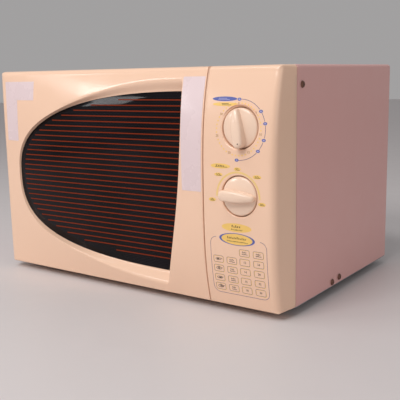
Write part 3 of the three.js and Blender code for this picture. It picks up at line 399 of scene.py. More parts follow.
def zinc_look():
    look = Look("galvanised_steel", (176, 180, 184), 0.42, 0.9, grain_depth=0.03, wear=0.5,
                wear_rgb=(214, 216, 218))
    grey = look.node("ShaderNodeRGBToBW")
    look.link(look.flakes(130)["Color"], grey.inputs[0])
    look.colour = look.mix(look.multiply(grey.outputs[0], 0.35), look.colour, shade((128, 134, 142), 1))
    look.rough = look.math("ADD", look.rough, look.multiply(grey.outputs[0], 0.12))
    return look.done()


def brushed_look(name, rgb, rough):
    return Look(name, rgb, rough, 1.0, stretch=(1, 1, 40), grain=500, grain_depth=0.05, wear=0.4,
                wear_rgb=(235, 235, 235)).done()


def striped_look(name, rgb, groove, rough, metal, axis, pitch, width):
    look = Look(name, rgb, rough, metal, grain_depth=0.05)
    stripe = look.stripes(look.axis(axis), pitch, width)
    look.colour = look.mix(stripe, look.colour, shade(groove, 1))
    look.normal = look.bump(stripe, -0.5, 0.0003, look.normal)
    return look.done()


def mica_look():
    look = Look("mica", (196, 176, 142), 0.55, cloud=30, cloud_amount=0.12, grain_depth=0.1)
    flake = look.ramp(look.flakes(260)["Distance"], 0.1, 0.6)
    look.colour = look.mix(flake, look.colour, shade((150, 126, 92), 1))
    return look.done()


def board_look():
    look = Look("circuit_board", (74, 107, 58), 0.5, grain_depth=0.03)
    track = look.multiply(look.stripes(look.axis(1), 0.006, 0.0016), look.ramp(look.noise(60, 1), 0.45, 0.5))
    look.colour = look.mix(track, look.colour, shade((104, 140, 84), 1))
    return look.done()


def glass_look(name, rgb, rough):
    return Look(name, rgb, rough, cloud_amount=0.02, rough_spread=0.02, grain_depth=0.004, wave_depth=0.01,
                Transmission_Weight=0.92, IOR=1.47).done()


def ink_look(name, rgb, rough=0.42, shine=0.5):
    return Look(name, rgb, rough, cloud=120, cloud_amount=0.07, grain=2600, grain_depth=0.05, wave_depth=0.0,
                Specular_IOR_Level=shine).done()


# Cover paint: partly its own off-white colour, partly a painted pink tint of the reddish room light.
Look("cover_paint", COVER, 0.36, cloud=6, cloud_amount=0.025, grain=700, grain_depth=0.05, wave=26,
     wave_depth=0.03, wear=0.25, wear_rgb=(238, 214, 204), Coat_Weight=0.15).done()
Look("cavity_paint", (188, 191, 195), 0.38, cloud=9, grain=600, grain_depth=0.04, wear=0.2,
     wear_rgb=(214, 216, 219)).done()
zinc_look()
brushed_look("bright_steel", (186, 184, 182), 0.32)
Look("cream_plastic", CREAM, 0.17, cloud=5, cloud_amount=0.022, grain=1700, grain_depth=0.02, wave=18,
     wave_depth=0.012, wear=0.12, wear_rgb=(247, 221, 200), Specular_IOR_Level=0.5).done()
Look("knob_plastic", KNOB_CREAM, 0.2, cloud=26, cloud_amount=0.02, grain=1800, grain_depth=0.015,
     wear=0.25, wear_rgb=(250, 232, 214)).done()
pane_look()
glass_look("clear_sheet", (226, 232, 232), 0.05)
screen_look()
Look("black_plastic", (28, 28, 31), 0.48, grain=900, grain_depth=0.12, wear=0.3,
     wear_rgb=(70, 70, 74)).done()
Look("white_plastic", (232, 227, 216), 0.42, cloud=20, grain=1000, grain_depth=0.06, wear=0.2,
     wear_rgb=(244, 241, 234)).done()
mica_look()
brushed_look("aluminium", (206, 208, 210), 0.34)
striped_look("laminated_iron", (104, 108, 114), (52, 54, 58), 0.5, 0.6, 1, 0.0011, 0.0003)
striped_look("copper_winding", (186, 104, 58), (96, 46, 24), 0.32, 0.7, 2, 0.0016, 0.0004)
board_look()
glass_look("clear_glass", (214, 230, 226), 0.03)
Look("rubber", (38, 38, 41), 0.75, grain=1100, grain_depth=0.2, wave_depth=0.04).done()
INK = {name: ink_look(label, rgb) for name, label, rgb in (
    ("blue", "ink_blue", (88, 100, 170)), ("yellow", "ink_yellow", (243, 201, 112)),
    ("pale", "ink_pale_yellow", (238, 203, 134)), ("dark", "ink_brown", (56, 42, 40)),
    ("olive", "ink_olive", (168, 126, 58)), ("light", "ink_light", (172, 170, 208)),
    ("violet", "ink_violet", (118, 96, 128)))}
PANE_LINE = ink_look("pane_line", (126, 44, 14), 0.6, 0.08)
FILM = Look("protective_film", (226, 206, 208), 0.3, cloud=22, cloud_amount=0.03, rough_spread=0.12,
            grain_depth=0.01, wave=34, wave_depth=0.05).done()
SCREW = Look("screw_steel", (126, 92, 78), 0.35, 0.85, grain_depth=0.04, wear=0.3,
             wear_rgb=(190, 180, 172)).done()


def add_camera():
    """A 36 mm frame behind a 62.8 mm lens, to the right of the oven and a little above it."""
    yaw, pitch, roll = (math.radians(angle) for angle in (35.72, -10.15, -1.10))
    level = Matrix.Rotation(yaw, 4, "Z") @ Matrix.Rotation(math.pi / 2 + pitch, 4, "X")
    data = bpy.data.cameras.new("camera")
    data.sensor_width = 36
    data.lens = 62.8
    camera = linked("camera", data)
    place = Vector((583.0, -676.1, 262.4)) * MM + DATUM
    camera.matrix_world = Matrix.Translation(place) @ level @ Matrix.Rotation(roll, 4, "Z")
    bpy.context.scene.camera = camera


def area_light(name, place, target, size, power, rgb):
    data = bpy.data.lights.new(name, "AREA")
    data.shape = "RECTANGLE"
    data.size, data.size_y = size
    data.energy = power
    data.color = rgb
    lamp = linked(name, data)
    lamp.location = place
    lamp.rotation_euler = (Vector(target) - Vector(place)).to_track_quat("-Z", "Y").to_euler()


def add_studio():
    floor = bpy.data.meshes.new("studio_floor")
    half = 6.0
    corners = [(-half, -half, 0), (half, -half, 0), (half, half, 0), (-half, half, 0)]
    floor.from_pydata(corners, [], [(0, 1, 2, 3)])
    piece = linked("studio_floor", floor)
    floor.materials.append(Look("floor", (214, 208, 208), 0.5, cloud=1.5, cloud_amount=0.01, grain_depth=0.02,
                                wave_depth=0.0).done())
    world = bpy.data.worlds.new("studio")
    world.use_nodes = True
    world.node_tree.nodes["Background"].inputs[0].default_value = (0.86, 0.84, 0.84, 1)
    world.node_tree.nodes["Background"].inputs[1].default_value = 0.42
    bpy.context.scene.world = world
    aim = (0, 0, 0.14)
    area_light("key", (-0.1, -1.6, 1.5), aim, (0.9, 0.6), 18, (1, 0.98, 0.96))
    area_light("fill", (2.1, -0.6, 0.7), aim, (1.2, 1.0), 3, (1, 0.93, 0.9))
    area_light("top", (-0.2, -0.75, 1.8), aim, (1.5, 0.25), 8, (1, 1, 1))
    area_light("side", (-1.15, -1.4, 0.72), (0.03, -0.13, 0.1), (0.42, 0.2), 3.2, (1, 0.98, 0.98))
    bpy.context.scene.view_settings.view_transform = "Standard"


# ---------- hollow mouldings ----------

THETAS = [math.radians(a) for a in (15, 30, 45, 60, 75, 90)]
NOTCHES = (263, 9)  # heights of the notches for the hinge brackets
STRIP_COLUMNS = [0.0, 0.12, 0.35, 0.7, 1.2, 2.0, 4.0, 8.0, 13.0, 18.0, 23.0, 28.0, 33.0]


class Outline:
    """A front outline with two rounded corners on one side, and copies of it grown outwards at a depth."""

    def __init__(self, ring, x_side, x_seam, z0, z1, corner, final_radius):
        self.ring, self.x_side, self.x_seam, self.z0, self.z1 = ring, x_side, x_seam, z0, z1
        self.corner, self.final = corner, final_radius
        self.sign = 1 if x_side > x_seam else -1
        x, z = ring[:, 0], ring[:, 2]
        inward = (x_side - x) * self.sign
        self.in_corner = (inward < corner - 1e-6) & ((z > z1 - corner + 1e-6) | (z < z0 + corner - 1e-6))
        self.upper = z > (z0 + z1) / 2
        across = np.clip((corner - inward) / corner, 0, 1)
        upward = np.clip(np.where(self.upper, z - (z1 - corner), (z0 + corner) - z) / corner, 0, 1)
        self.angle = np.arctan2(upward, across)  # 0 on the side, 90 degrees on the top or bottom
        turn = smoothstep(self.angle / (math.pi / 2), 0, 1)
        self.on_side = np.where(self.in_corner, 1 - turn, inward < corner - 1e-6)
        flat = (z > z1 - 0.01) | (z < z0 + 0.01)
        self.on_flat = np.where(self.in_corner, turn, flat)
        self.on_seam = np.abs(x - x_seam) < 0.01

    def grown(self, side, top, low, seam, y, progress=1.0):
        radius = self.corner + (self.final - self.corner) * progress
        ring, sign = self.ring, self.sign
        x_side, x_seam = self.x_side + sign * side, self.x_seam - sign * seam
        z1, z0 = self.z1 + top, self.z0 - low
        share_x = (ring[:, 0] - self.x_seam) / (self.x_side - sign * self.corner - self.x_seam)
        x = x_seam + np.clip(share_x, 0, 1) * (x_side - sign * radius - x_seam)
        share_z = (ring[:, 2] - self.z0 - self.corner) / (self.z1 - self.z0 - 2 * self.corner)
        z = z0 + radius + np.clip(share_z, 0, 1) * (z1 - z0 - 2 * radius)
        seam_z = z0 + (ring[:, 2] - self.z0) / (self.z1 - self.z0) * (z1 - z0)
        z = np.where(self.on_seam, seam_z, z)
        side_only = (self.on_side == 1) & ~self.in_corner
        x = np.where(side_only, x_side, x)
        z = np.where(self.on_flat == 1, np.where(self.upper, z1, z0), z)
        drop = radius * (1 - np.sin(self.angle))
        x = np.where(self.in_corner, x_side - sign * radius * (1 - np.cos(self.angle)), x)
        z = np.where(self.in_corner, np.where(self.upper, z1 - drop, z0 + drop), z)
        return np.stack([x, np.broadcast_to(y, x.shape), z], axis=1)

    def edge(self, side, top, top_depth, low, seam):
        """Rings that turn the front face into the sides."""
        vertical = np.where(self.upper, top_depth, low)
        depth = np.maximum(side * self.on_side, vertical * self.on_flat)
        depth = np.maximum(depth, seam)
        rings = [self.ring]
        for theta in THETAS:
            s, c = math.sin(theta), math.cos(theta)
            y = self.ring[:, 1] + depth * (1 - c)
            rings.append(self.grown(side * s, top * s, low * s, seam * s, y, s))
        return rings


def door_moulding():
    """The cream outer moulding: bulged front, dished surround of the window, handle strip and hollow back."""
    # Front face left of the strip: a band from the window's edge out to the rounded outline.
    x0, x1, z0, z1 = DOOR_LOW.x + 11, DOOR_HIGH.x - 1.3, 2.5, HEIGHT - 6
    corner = 6.0
    sample = 5.5
    centre = np.array([97.0, 136.0])
    window, rim = window_curve(0, 0), window_curve(RIM, SCOOP)

    def line(a, b):
        count = max(2, int(math.dist(a, b) / sample))
        return [tuple(p) for p in np.linspace(a, b, count + 1)]

    edge = np.array(line((strip_x(z1), z1), (x0 + corner, z1))
                    + arc(x0 + corner, z1 - corner, corner, 90, 180, 9)[1:]
                    + line((x0, z1 - corner), (x0, z0 + corner))[1:]
                    + arc(x0 + corner, z0 + corner, corner, 180, 270, 9)[1:]
                    + line((x0 + corner, z0), (strip_x(z0), z0))[1:])

    def bearings(curve):
        away = curve - centre
        return np.unwrap(np.arctan2(away[:, 1], away[:, 0]))

    edge_angle = bearings(edge)
    share = (edge_angle - edge_angle[0]) / (edge_angle[-1] - edge_angle[0])

    def matched(curve):
        angle = bearings(curve)
        wanted = angle[0] + share * (angle[-1] - angle[0])
        return np.stack([np.interp(wanted, angle, curve[:, k]) for k in (0, 1)], axis=1)

    inner, outer = matched(window), matched(rim)
    scoop_steps = np.linspace(0, 1, 13)
    field_steps = np.linspace(0, 1, 15)[1:]
    dish = inner[:, None] + (outer - inner)[:, None] * scoop_steps[:, None]
    field = outer[:, None] + (edge - outer)[:, None] * field_steps[:, None]
    flat = np.concatenate([dish, field], axis=1)  # sample, step outwards, (x, z)
    x, z = flat[:, :, 0], flat[:, :, 1]
    x[[0, -1]] = strip_x(z[[0, -1]])
    lift = smoothstep(np.concatenate([scoop_steps, np.ones(len(field_steps))]), 0, 1)
    band = np.stack([x, pane_y(x) + (front_y(x, z) - pane_y(x)) * lift, z], axis=2)
    back_band = band.copy()
    back_band[:, :len(scoop_steps), 1] = COLLAR_Y
    back_band[:, len(scoop_steps):, 1] += WALL

    # The strip: rows at the band's end heights and between them.
    middle = np.linspace(inner[-1][1], inner[0][1], 46)[1:-1]
    low_rows = band.shape[1]
    top_rows = low_rows + len(middle)
    height = np.concatenate([band[-1, ::-1, 2], middle, band[0, :, 2]])[:, None]
    floor_y = np.concatenate([band[-1, ::-1, 1], pane_y(strip_x(middle)), band[0, :, 1]])[:, None]
    edge_back = np.concatenate([back_band[-1, ::-1, 1], np.full(len(middle), COLLAR_Y), back_band[0, :, 1]])
    left = strip_x(height)
    radius = np.clip(0.8 * (floor_y - front_y(left, height)), 0, 2)
    across = np.array(STRIP_COLUMNS)
    x = left + (x1 - left) * across / across[-1]
    z = np.broadcast_to(height, x.shape)
    rolled = radius - np.sqrt(np.clip(radius**2 - (radius - across) ** 2, 0, None))
    y = front_y(x, z) + np.where((across < radius) & (radius > 0.05), rolled, 0)
    behind = np.where((across < 3) & (edge_back[:, None] == COLLAR_Y), COLLAR_Y, y + WALL)
    behind[:, 0] = edge_back
    strip, back_strip = np.stack([x, y, z], axis=2), np.stack([x, behind, z], axis=2)

    def around(side, left):
        """Right side upwards, top to the strip's edge, round the left to the bottom, and under the strip."""
        return np.concatenate([side[:, -1], side[-1, ::-1][1:], left[1:, -1], side[0][1:-1]])

    # Closed rings from the front outline round to the back, then inside again.
    ring_front = around(strip, band)
    outline = Outline(ring_front, x0, x1, z0, z1, corner, 7.0)
    rings = outline.edge(9, 6, 7, 2.5, 1.3)
    side_start = rings[-1][:, 1]
    rings.append(outline.grown(10, 6, 2.5, 1.3, (side_start - 13.5) / 2))
    for t in (0, 0.25, 0.5, 0.75, 1):
        y = (1 - t) ** 2 * -13.5 + (1 - (1 - t) ** 2) * DOOR_BACK
        rings.append(outline.grown(11 - 8 * t * t, 6, 2.5, 1.3, y))
    rings.append(outline.grown(0.5, 3.5, 0, -1.2, DOOR_BACK, 0.6))
    rings.append(outline.grown(8.5, 3.5, 0, -1.2, -13.5, 0.6))
    rings.append(outline.grown(6.5, 3.5, 0, -1.2, np.minimum(side_start, COLLAR_Y), 0.6))
    rings.append(around(back_strip, back_band))

    points, faces = [], []

    def grid(array):
        faces.extend(rings_to_faces(array.shape[1], array.shape[0], False, len(points)))
        points.extend(map(tuple, array.reshape(-1, 3)))

    for surface in (band, back_band, strip, back_strip):
        grid(surface)
    start = len(points)
    points.extend(tuple(p) for ring in rings for p in ring)
    faces.extend(rings_to_faces(len(ring_front), len(rings), start=start))
    # Wall of the strip down to the dish or to the back, and the wall of the window's opening.
    grid(np.stack([strip[top_rows:, 0], band[0]]))
    grid(np.stack([strip[:low_rows, 0], band[-1, ::-1]]))
    opening = slice(low_rows - 1, top_rows + 1)
    pane_edge = strip[opening, 0].copy()
    pane_edge[:, 1] = pane_y(pane_edge[:, 0])
    grid(np.stack([strip[opening, 0], pane_edge, back_strip[opening, 0]]))
    grid(np.stack([band[:, 0], back_band[:, 0]]))
    return points, faces


def boolean(piece, points, faces, operation):
    data = mesh_of("tool", points, faces)
    welded(data)
    tool = linked("tool", data)
    change = piece.modifiers.new("change", "BOOLEAN")
    change.operation = operation
    change.solver = "EXACT"
    change.object = tool
    bpy.context.view_layer.update()
    result = bpy.data.meshes.new_from_object(piece.evaluated_get(bpy.context.evaluated_depsgraph_get()))
    piece.modifiers.clear()
    piece.data = result
    welded(result)
    bpy.data.objects.remove(tool)


def build_door():
    points, faces = door_moulding()
    door = make("door_moulding", points, faces, "door", "cream_plastic", replaces=("door_outer",))
    for z in NOTCHES:
        notch = [(x, y, h) for x in (DOOR_LOW.x - 2, -216) for y in (-27, 0) for h in (z - 2.6, z + 2.6)]
        sides = [(0, 1, 3, 2), (4, 6, 7, 5), (0, 4, 5, 1), (2, 3, 7, 6), (0, 2, 6, 4), (1, 5, 7, 3)]
        boolean(door, notch, sides, "DIFFERENCE")
    smooth(door)
    build_pane()
    build_stickers()


def closed_window(offset):
    """The window's whole outline, pulled in or out by an offset."""
    curve = window_curve(offset, 0, 400)
    heights = np.linspace(curve[-1][1], curve[0][1], 30)[1:-1]
    return np.concatenate([curve[::3], np.stack([strip_x(heights) + offset, heights], axis=1)])


def build_pane():
    gap, inset, thickness = 0.3, 0.5, 3.0
    outline = closed_window(-gap)
    inwards = outline.mean(axis=0) - outline
    inwards /= np.hypot(*inwards.T)[:, None]
    rings = []
    for pull, back in ((inset, 0.0), (0.15, 0.15), (0.0, inset), (0.0, thickness)):
        rings.append([(x, pane_y(x) + back, z) for x, z in outline + inwards * pull])
    count = len(rings[0])
    points = [p for ring in rings for p in ring]
    faces = rings_to_faces(count, len(rings))
    faces += [tuple(range(count))[::-1], tuple(range(3 * count, 4 * count))]
    make("window_pane", points, faces, "door", "smoked_pane", replaces=("door_window",))
    lines = []
    inner = window_curve(0, 0, left=290.7, up=103.5, down=98.0)
    tip = int(np.argmin(inner[:, 0]))
    for i in range(29):
        z = 41.4 + 6.89 * i
        part = inner[:tip + 1] if z > inner[tip][1] else inner[tip:]
        xs, heights = part[np.argsort(part[:, 1])].T
        left, right = float(np.interp(z, heights, xs)), strip_x(z) - 0.7
        stations = np.linspace(left, right, 10)
        section = [(-0.75, 0.1), (-0.6, -0.12), (0.6, -0.12), (0.75, 0.1)]
        bar = [(x, pane_y(x) + dy, z + dz) for x in stations for dz, dy in section]
        sides = rings_to_faces(4, len(stations))
        last = len(bar) - 4
        sides += [(3, 2, 1, 0), (last, last + 1, last + 2, last + 3)]
        lines.append((bar, sides))
    points, faces = merge(*lines)
    make("window_lines", points, faces, "door", material=PANE_LINE, sharp=20)


def conformed(lines, lift, skirt):
    """A thin closed patch: rows of (x, z) points lifted off the front, with a skirt sunk into it."""
    rows = len(lines)
    width = len(lines[0])
    points = []
    for offset in (-lift, skirt):
        for row in lines:
            points += [(x, float(front_y(x, z)) + offset, z) for x, z in row]
    layer = rows * width
    faces = []
    for i in range(rows - 1):
        for j in range(width - 1):
            a = i * width + j
            faces.append((a, a + 1, a + 1 + width, a + width))
            faces.append((layer + a, layer + a + width, layer + a + 1 + width, layer + a + 1))
    border = ([(0, j) for j in range(width)] + [(i, width - 1) for i in range(1, rows)]
              + [(rows - 1, j) for j in range(width - 2, -1, -1)] + [(i, 0) for i in range(rows - 2, 0, -1)])
    for (i, j), (k, m) in zip(border, border[1:] + border[:1]):
        a, b = i * width + j, k * width + m
        faces.append((a, a + layer, b + layer, b))
    return points, faces


def build_stickers():
    def sheet(x0, x1, z0, z1, lean=0.0):
        heights = np.linspace(z0, z1, max(3, int((z1 - z0) / 4)))
        return [[(x + lean * (1 - (z - z0) / (z1 - z0)) * (x1 - x) / (x1 - x0), z)
                 for x in np.linspace(x0, x1, max(3, int((x1 - x0) / 4)))] for z in heights]

    strip = conformed(sheet(97.6, 128.6, 132, 261, 4.0), 0.16, 0.3)
    make("film_on_strip", *strip, "door", material=FILM, sharp=30)
    corner = merge(conformed(sheet(-213.5, -155, 233, 258), 0.14, 0.3),
                   conformed(sheet(-213.5, -189.5, 177, 233.4), 0.14, 0.3))
    make("film_on_corner", *corner, "door", material=FILM, sharp=30)


# ---------- control panel ----------

KNOB_X = sum(c.x for c in box_mm("timer_shaft")) / 2
TIMER_Z = sum(c.z for c in box_mm("timer_shaft")) / 2
POWER_Z = sum(c.z for c in box_mm("power_shaft")) / 2
WELL_RADIUS, WELL_DEPTH, CUP_WALL, SHAFT_HOLE = 23.0, 7.0, 2.5, 5.0
TIMER_REST, POWER_REST = math.radians(9), math.radians(-93)


def panel_front(z):
    return float(front_y(KNOB_X, z))


def well_front(z):
    """The datum of a knob: 1 mm in front of its well's floor."""
    return panel_front(z) + WELL_DEPTH - 1


def panel_shell():
    x0, x1, z0, z1, corner = PANEL_LOW.x + 1.2, PANEL_HIGH.x - 13, 2.5, HEIGHT - 6, 5.0
    turns = [math.radians(11.25 * k) for k in range(9)]
    low_rows = [z0 + corner * (1 - math.cos(a)) for a in turns]
    heights = low_rows + list(np.linspace(z0 + corner, z1 - corner, 66)[1:-1])
    heights += [z0 + z1 - z for z in low_rows[::-1]]
    rows = []
    for z in heights:
        near = min(z - z0, z1 - z, corner)
        end = x1 - corner + math.sqrt(max(corner**2 - (corner - near) ** 2, 0))
        rows.append([(x, float(front_y(x, z)), z) for x in np.linspace(x0, end, 34)])
    front = np.array(rows)
    back = front.copy()
    back[:, :, 1] += WALL

    def border(grid):
        return np.array([*grid[::-1, 0], *grid[0, 1:], *grid[1:, -1], *grid[-1, ::-1][1:-1]])

    ring = border(front)
    outline = Outline(ring, x1, x0, z0, z1, corner, 4.0)
    rings = outline.edge(9, 6, 7, 2.5, 1.2)
    start_y = rings[-1][:, 1]
    for t in (0.25, 0.5, 0.75, 0.97, 1):
        inset = 0.4 if t == 1 else 0
        rings.append(outline.grown(9 + 4 * t - inset, 6 - inset, 2.5 - inset, 1.2 - inset,
                                   start_y + (PANEL_BACK - start_y) * t))
    rings.append(outline.grown(10.5, 3.5, 0, -1.3, PANEL_BACK, 0.8))
    rings.append(outline.grown(7.5, 3.5, 0, -1.3, np.minimum(start_y + 2, -12), 0.8))
    rings.append(border(back))
    count = len(ring)
    points = [tuple(p) for r in rings for p in r]
    faces = rings_to_faces(count, len(rings))
    for grid in (front, back):
        start = len(points)
        points += [tuple(p) for p in grid.reshape(-1, 3)]
        faces += rings_to_faces(grid.shape[1], grid.shape[0], closed=False, start=start)
    return points, faces


def well_tools(z):
    floor = panel_front(z) + WELL_DEPTH
    sides = 128
    mouth = [(2.2, -4.0), (2.2, -0.16), (1.3, -0.02), (0.9, 0.06), (0.55, 0.22), (0.25, 0.5), (0.06, 0.85),
             (0, 1.3)]
    points = []
    for flare, below in mouth:
        radius = WELL_RADIUS + flare
        for i in range(sides):
            a = 2 * math.pi * i / sides
            height = z + radius * math.sin(a)
            points.append((KNOB_X + radius * math.cos(a), panel_front(height) + below, height))
    foot = [(WELL_RADIUS, -0.8), (WELL_RADIUS - 0.25, -0.25), (WELL_RADIUS - 0.8, 0)]
    points += lathe([(r, -h) for r, h in foot], (KNOB_X, floor, z), "-y", sides)[0]
    faces = rings_to_faces(sides, len(mouth) + len(foot))
    faces += [tuple(range(sides)), tuple(range(len(points) - sides, len(points)))]
    cup = lathe([(0, 0), (WELL_RADIUS + CUP_WALL, 0), (WELL_RADIUS + CUP_WALL, -WELL_DEPTH - CUP_WALL + 1.2),
                 (0, -WELL_DEPTH - CUP_WALL + 1.2)], (KNOB_X, panel_front(z) + 1.2, z), "-y", sides)
    hole = lathe([(0, 6), (SHAFT_HOLE, 6), (SHAFT_HOLE, -6), (0, -6)], (KNOB_X, floor, z), "-y", 48)
    return cup, (points, faces), hole


def build_panel():
    points, faces = panel_shell()
    panel = make("panel_moulding", points, faces, "cabinet", "cream_plastic", replaces=("control_panel",))
    wells = [well_tools(z) for z in (TIMER_Z, POWER_Z)]
    for step, operation in enumerate(("UNION", "DIFFERENCE", "DIFFERENCE")):
        for tools in wells:
            boolean(panel, *tools[step], operation)
    smooth(panel)


def grip_half_width(s):
    """Half the width of the teardrop bar at a distance along it from the knob's axis."""
    wide, wide_at, narrow, narrow_at, belly = 6.0, -15.5, 3.4, 17.8, (7.4, 3.0)
    tip = (narrow * math.cos(math.pi / 9), narrow_at + narrow * math.sin(math.pi / 9))
    if s < wide_at:
        return math.sqrt(max(wide**2 - (s - wide_at) ** 2, 0))
    if s > tip[1]:
        return math.sqrt(max(narrow**2 - (s - narrow_at) ** 2, 0))
    t = np.linspace(0, 1, 40)
    along = (1 - t) ** 2 * wide_at + 2 * t * (1 - t) * belly[1] + t**2 * tip[1]
    return float(np.interp(s, along, (1 - t) ** 2 * wide + 2 * t * (1 - t) * belly[0] + t**2 * tip[0]))


def turned(u, s, z, turn):
    """x and z of a point u across and s along the bar of a knob at height z."""
    c, t = math.cos(turn), math.sin(turn)
    return KNOB_X + u * c - s * t, z + u * t + s * c


def grip(rise, z, turn):
    """The raised teardrop bar of a knob, wide end below, turned anticlockwise about the knob's axis."""
    low, high = -21.5, 21.2
    stations = [low + 6 * (1 - math.cos(math.radians(a))) for a in range(0, 90, 9)]
    stations += list(np.linspace(low + 6, high - 3.4, 30))
    stations += [high - 3.4 + 3.4 * math.sin(math.radians(a)) for a in range(9, 91, 9)]
    along, heights = (-21.5, -18, -8, 0, 8, 14, 18, 21.2), (11.2, 12, 11.8, 11.2, 10.0, 8.4, 7.0, 5.4)
    points = []
    for s in stations:
        half = max(grip_half_width(s), 0.02)
        to_end = min(s - low, high - s)
        top = rise + float(np.interp(s, along, heights))
        top -= 2.6 - math.sqrt(max(2.6**2 - max(2.6 - to_end, 0) ** 2, 0))
        radius = min(3.4, 0.72 * half)
        bulge = 0.45 * half / 6
        section = [(-half - 0.4 * half / 6, rise - 1.0), (-half, top - radius)]
        section += [(-half + radius * (1 - math.cos(a)), top - radius + radius * math.sin(a))
                    for a in np.radians(np.linspace(9, 90, 10))]
        section += [(-(half - radius) / 2, top + 0.75 * bulge), (0, top + bulge)]
        section = section + [(-u, v) for u, v in section[-2::-1]]
        points += [(u, s, v) for u, v in section]
        size = len(section)
    last = len(points) - size
    faces = rings_to_faces(size, len(stations))
    faces += [tuple(range(size)), tuple(range(last, len(points)))]
    front = well_front(z)
    placed = [(turned(u, s, z, turn), front - v) for u, s, v in points]
    return [(x, y, height) for (x, height), y in placed], faces


def build_knob(node, body, z, turn):
    """The CAD knob's measures: its base 1 mm in front of the well's floor, its disc level with the panel."""
    rise = WELL_DEPTH - 1
    profile = [(3.2, 0.0), (21.4, 0.0), (21.8, 0.4)]
    crown = [(21.8, -1.9), (21.72, -1.3), (21.4, -0.7), (20.8, -0.2), (19.9, 0.2), (17.5, 0.85), (14, 1.6),
             (10.9, 2.2), (6, 2.8), (0, 3)]
    profile += [(radius, rise + above) for radius, above in crown]
    front = well_front(z)
    disc = lathe(profile, (KNOB_X, front, z), "-y", 128)
    bore = lathe([(3.2, 0.0), (3.2, 3.0), (0.0, 3.0)], (KNOB_X, front, z), "-y", 128)
    points, faces = merge(disc, bore, grip(rise, z, turn))
    make(node + "_fine", points, faces, body, "knob_plastic", replaces=(node,), sharp=40)
    if node == "timer_knob":
        x, height = turned(2.0, -16.6, z, turn)
        dot = lathe([(0, -0.3), (0.62, -0.3), (0.7, 0.0), (0.55, 0.1), (0, 0.12)],
                    (x, front - rise - 12.3, height), "-y", 24)
        make("timer_knob_dot", *dot, body, material=INK["dark"], sharp=40)


# ---------- printed graphics ----------

LIFT, SINK = 0.06, 0.2


def ellipse(cx, cz, a, b, rows=10, columns=14):
    lines = []
    for k in range(rows + 1):
        angle = math.pi * (k / rows - 0.5)
        z = cz + b * math.sin(angle)
        reach = a * max(math.cos(angle), 0.01)
        lines.append([(cx + reach * f, z) for f in np.linspace(-1, 1, columns)])
    return conformed(lines, LIFT, SINK)


def block(cx, cz, w, h):
    across = np.linspace(-1, 1, max(2, int(w)))
    lines = [[(cx + w * f / 2, cz + h * g / 2) for f in across] for g in (-1, 0, 1)]
    return conformed(lines, LIFT + 0.03, SINK)


def ribbon(path, width, closed=False):
    """A printed line of even width along a path of (x, z) points."""
    path = np.array(path, dtype=float)
    before = np.roll(path, 1, axis=0) if closed else np.vstack([path[:1], path[:-1]])
    after = np.roll(path, -1, axis=0) if closed else np.vstack([path[1:], path[-1:]])
    along = after - before
    along /= np.hypot(*along.T)[:, None]
    across = np.stack([-along[:, 1], along[:, 0]], axis=1) * width / 2
    points = []
    for p, d in zip(path, across):
        for (x, z), offset in ((p - d, -LIFT), (p + d, -LIFT), (p + d, SINK), (p - d, SINK)):
            points.append((x, float(front_y(x, z)) + offset, z))
    rings = len(path)
    faces = rings_to_faces(4, rings)
    last = 4 * (rings - 1)
    if closed:
        faces += [(last + i, last + (i + 1) % 4, (i + 1) % 4, i) for i in range(4)]
    else:
        faces += [(3, 2, 1, 0), (last, last + 1, last + 2, last + 3)]
    return points, faces


def arc(cx, cz, radius, start, end, count=40):
    angles = np.radians(np.linspace(start, end, count))
    return [(cx + radius * math.cos(a), cz + radius * math.sin(a)) for a in angles]


def frame_path(x0, x1, z0, z1, radius, step=4.0):
    corners = [(x1 - radius, z1 - radius, 0), (x0 + radius, z1 - radius, 90), (x0 + radius, z0 + radius, 180),
               (x1 - radius, z0 + radius, 270)]
    path = []
    for cx, cz, start in corners:
        path += arc(cx, cz, radius, start, start + 90, 6)
    dense = []
    for a, b in zip(path, path[1:] + path[:1]):
        count = max(1, int(math.dist(a, b) / step))
        dense += [(a[0] + (b[0] - a[0]) * i / count, a[1] + (b[1] - a[1]) * i / count) for i in range(count)]
    return dense


def numeral(text, cx, cz, height):
    """Printed figures laid on the front face, as a closed mesh."""
    curve = bpy.data.curves.new("figures", "FONT")
    curve.body = text
    curve.size = height * 1.38
    curve.align_x = "CENTER"
    curve.align_y = "CENTER"
    curve.extrude = 0.08
    curve.resolution_u = 2
    holder = linked("figures", curve)
    bpy.context.view_layer.update()
    data = bpy.data.meshes.new_from_object(holder.evaluated_get(bpy.context.evaluated_depsgraph_get()))
    points = [(cx + v.co.x, float(front_y(cx + v.co.x, cz + v.co.y)) - v.co.z - 0.01, cz + v.co.y)
              for v in data.vertices]
    faces = [tuple(p.vertices) for p in data.polygons]
    bpy.data.objects.remove(holder)
    return points, faces


